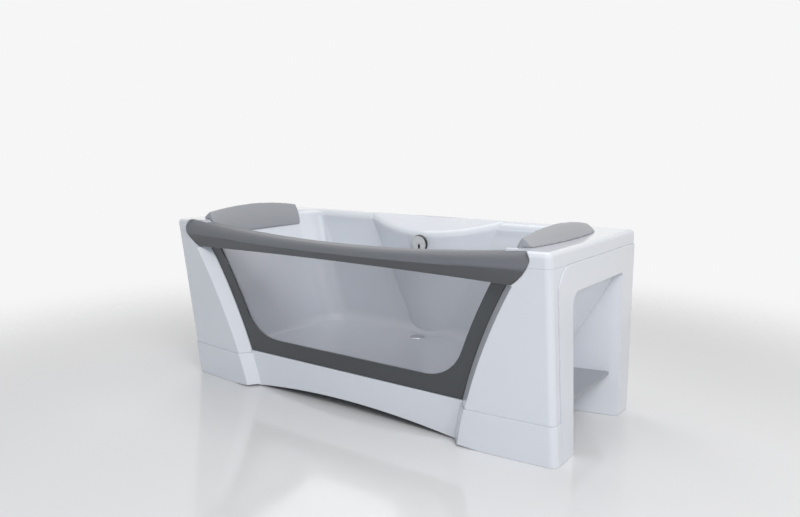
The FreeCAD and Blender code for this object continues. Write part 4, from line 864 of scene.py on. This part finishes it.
def add_sky():
    world = bpy.data.worlds.new("studio_sky")
    world.use_nodes = True
    tree = world.node_tree
    back = tree.nodes["Background"]
    back.inputs["Color"].default_value = (1.0, 1.0, 1.0, 1)
    back.inputs["Strength"].default_value = lights().sky
    seen = tree.nodes.new("ShaderNodeBackground")
    seen.inputs["Color"].default_value = (*colours().backdrop, 1)
    path = tree.nodes.new("ShaderNodeLightPath")
    either = tree.nodes.new("ShaderNodeMath")
    either.operation = "MAXIMUM"
    any_of = tree.nodes.new("ShaderNodeMath")
    any_of.operation = "MAXIMUM"
    mix = tree.nodes.new("ShaderNodeMixShader")
    tree.links.new(path.outputs["Is Camera Ray"], either.inputs[0])
    tree.links.new(path.outputs["Is Glossy Ray"], either.inputs[1])
    tree.links.new(either.outputs[0], any_of.inputs[0])
    tree.links.new(path.outputs["Is Transmission Ray"], any_of.inputs[1])
    tree.links.new(any_of.outputs[0], mix.inputs["Fac"])
    tree.links.new(back.outputs["Background"], mix.inputs[1])
    tree.links.new(seen.outputs["Background"], mix.inputs[2])
    tree.links.new(mix.outputs["Shader"], tree.nodes["World Output"].inputs["Surface"])
    bpy.context.scene.world = world


def add_lamp(name, power, size, place, colour):
    lamp = bpy.data.lights.new(name, "AREA")
    lamp.energy = power
    lamp.color = colour
    lamp.shape = "RECTANGLE"
    lamp.size, lamp.size_y = size
    obj = link(bpy.data.objects.new(name, lamp))
    obj.location = place
    aim = Vector(LAMP_TARGET) - Vector(place)
    obj.rotation_euler = aim.to_track_quat("-Z", "Y").to_euler()
    return obj


def add_camera():
    """Camera at the photograph's place, found from the bath's own edges."""
    camera = bpy.data.cameras.new("photo_camera")
    camera.sensor_width = CAMERA_SENSOR_MM
    camera.sensor_fit = "HORIZONTAL"
    camera.lens = CAMERA_LENS_MM
    obj = link(bpy.data.objects.new("photo_camera", camera))
    obj.location = CAMERA_PLACE
    obj.rotation_euler = (math.radians(CAMERA_TILT), 0.0, math.radians(CAMERA_HEADING))
    bpy.context.scene.camera = obj


class BATH_OT_studio(bpy.types.Operator):
    """Set up the floor, sky, lamps and camera"""
    bl_idname = "bath.studio"
    bl_label = "Studio"

    def execute(self, context):
        add_floor()
        add_sky()
        for name, size, place, colour, mirrored in LAMPS:
            lamp = add_lamp(name + "_lamp", getattr(lights(), name), size, place, colour)
            lamp.visible_glossy = mirrored
        add_camera()
        context.scene.view_settings.view_transform = "Standard"
        return {"FINISHED"}


class BATH_PT_panel(bpy.types.Panel):
    """Lists the bath's pieces, sizes and colours"""
    bl_idname = "BATH_PT_panel"
    bl_label = "Bath"
    bl_space_type = "VIEW_3D"
    bl_region_type = "UI"
    bl_category = "Bath"

    def draw(self, context):
        for operator in OPERATORS:
            self.layout.operator(operator.bl_idname)
        for group in (context.scene.bath_colours, context.scene.bath_sizes,
                      context.scene.studio_lights):
            column = self.layout.column()
            for name in group.__annotations__:
                column.prop(group, name)


OPERATORS = (BATH_OT_acrylic_body, BATH_OT_window, BATH_OT_hand_rail, BATH_OT_headrests,
             BATH_OT_shelves, BATH_OT_waste_and_overflow, BATH_OT_support_frame,
             BATH_OT_feet, BATH_OT_studio)
CLASSES = (BathColours, BathSizes, StudioLights) + OPERATORS + (BATH_PT_panel,)


def register():
    for kind in CLASSES:
        bpy.utils.register_class(kind)
    bpy.types.Scene.bath_colours = bpy.props.PointerProperty(type=BathColours)
    bpy.types.Scene.bath_sizes = bpy.props.PointerProperty(type=BathSizes)
    bpy.types.Scene.studio_lights = bpy.props.PointerProperty(type=StudioLights)


def unregister():
    del bpy.types.Scene.studio_lights
    del bpy.types.Scene.bath_sizes
    del bpy.types.Scene.bath_colours
    for kind in reversed(CLASSES):
        bpy.utils.unregister_class(kind)


def main():
    register()
    for operator in OPERATORS:
        group, name = operator.bl_idname.split(".")
        getattr(getattr(bpy.ops, group), name)()


if __name__ == "__main__":
    main()
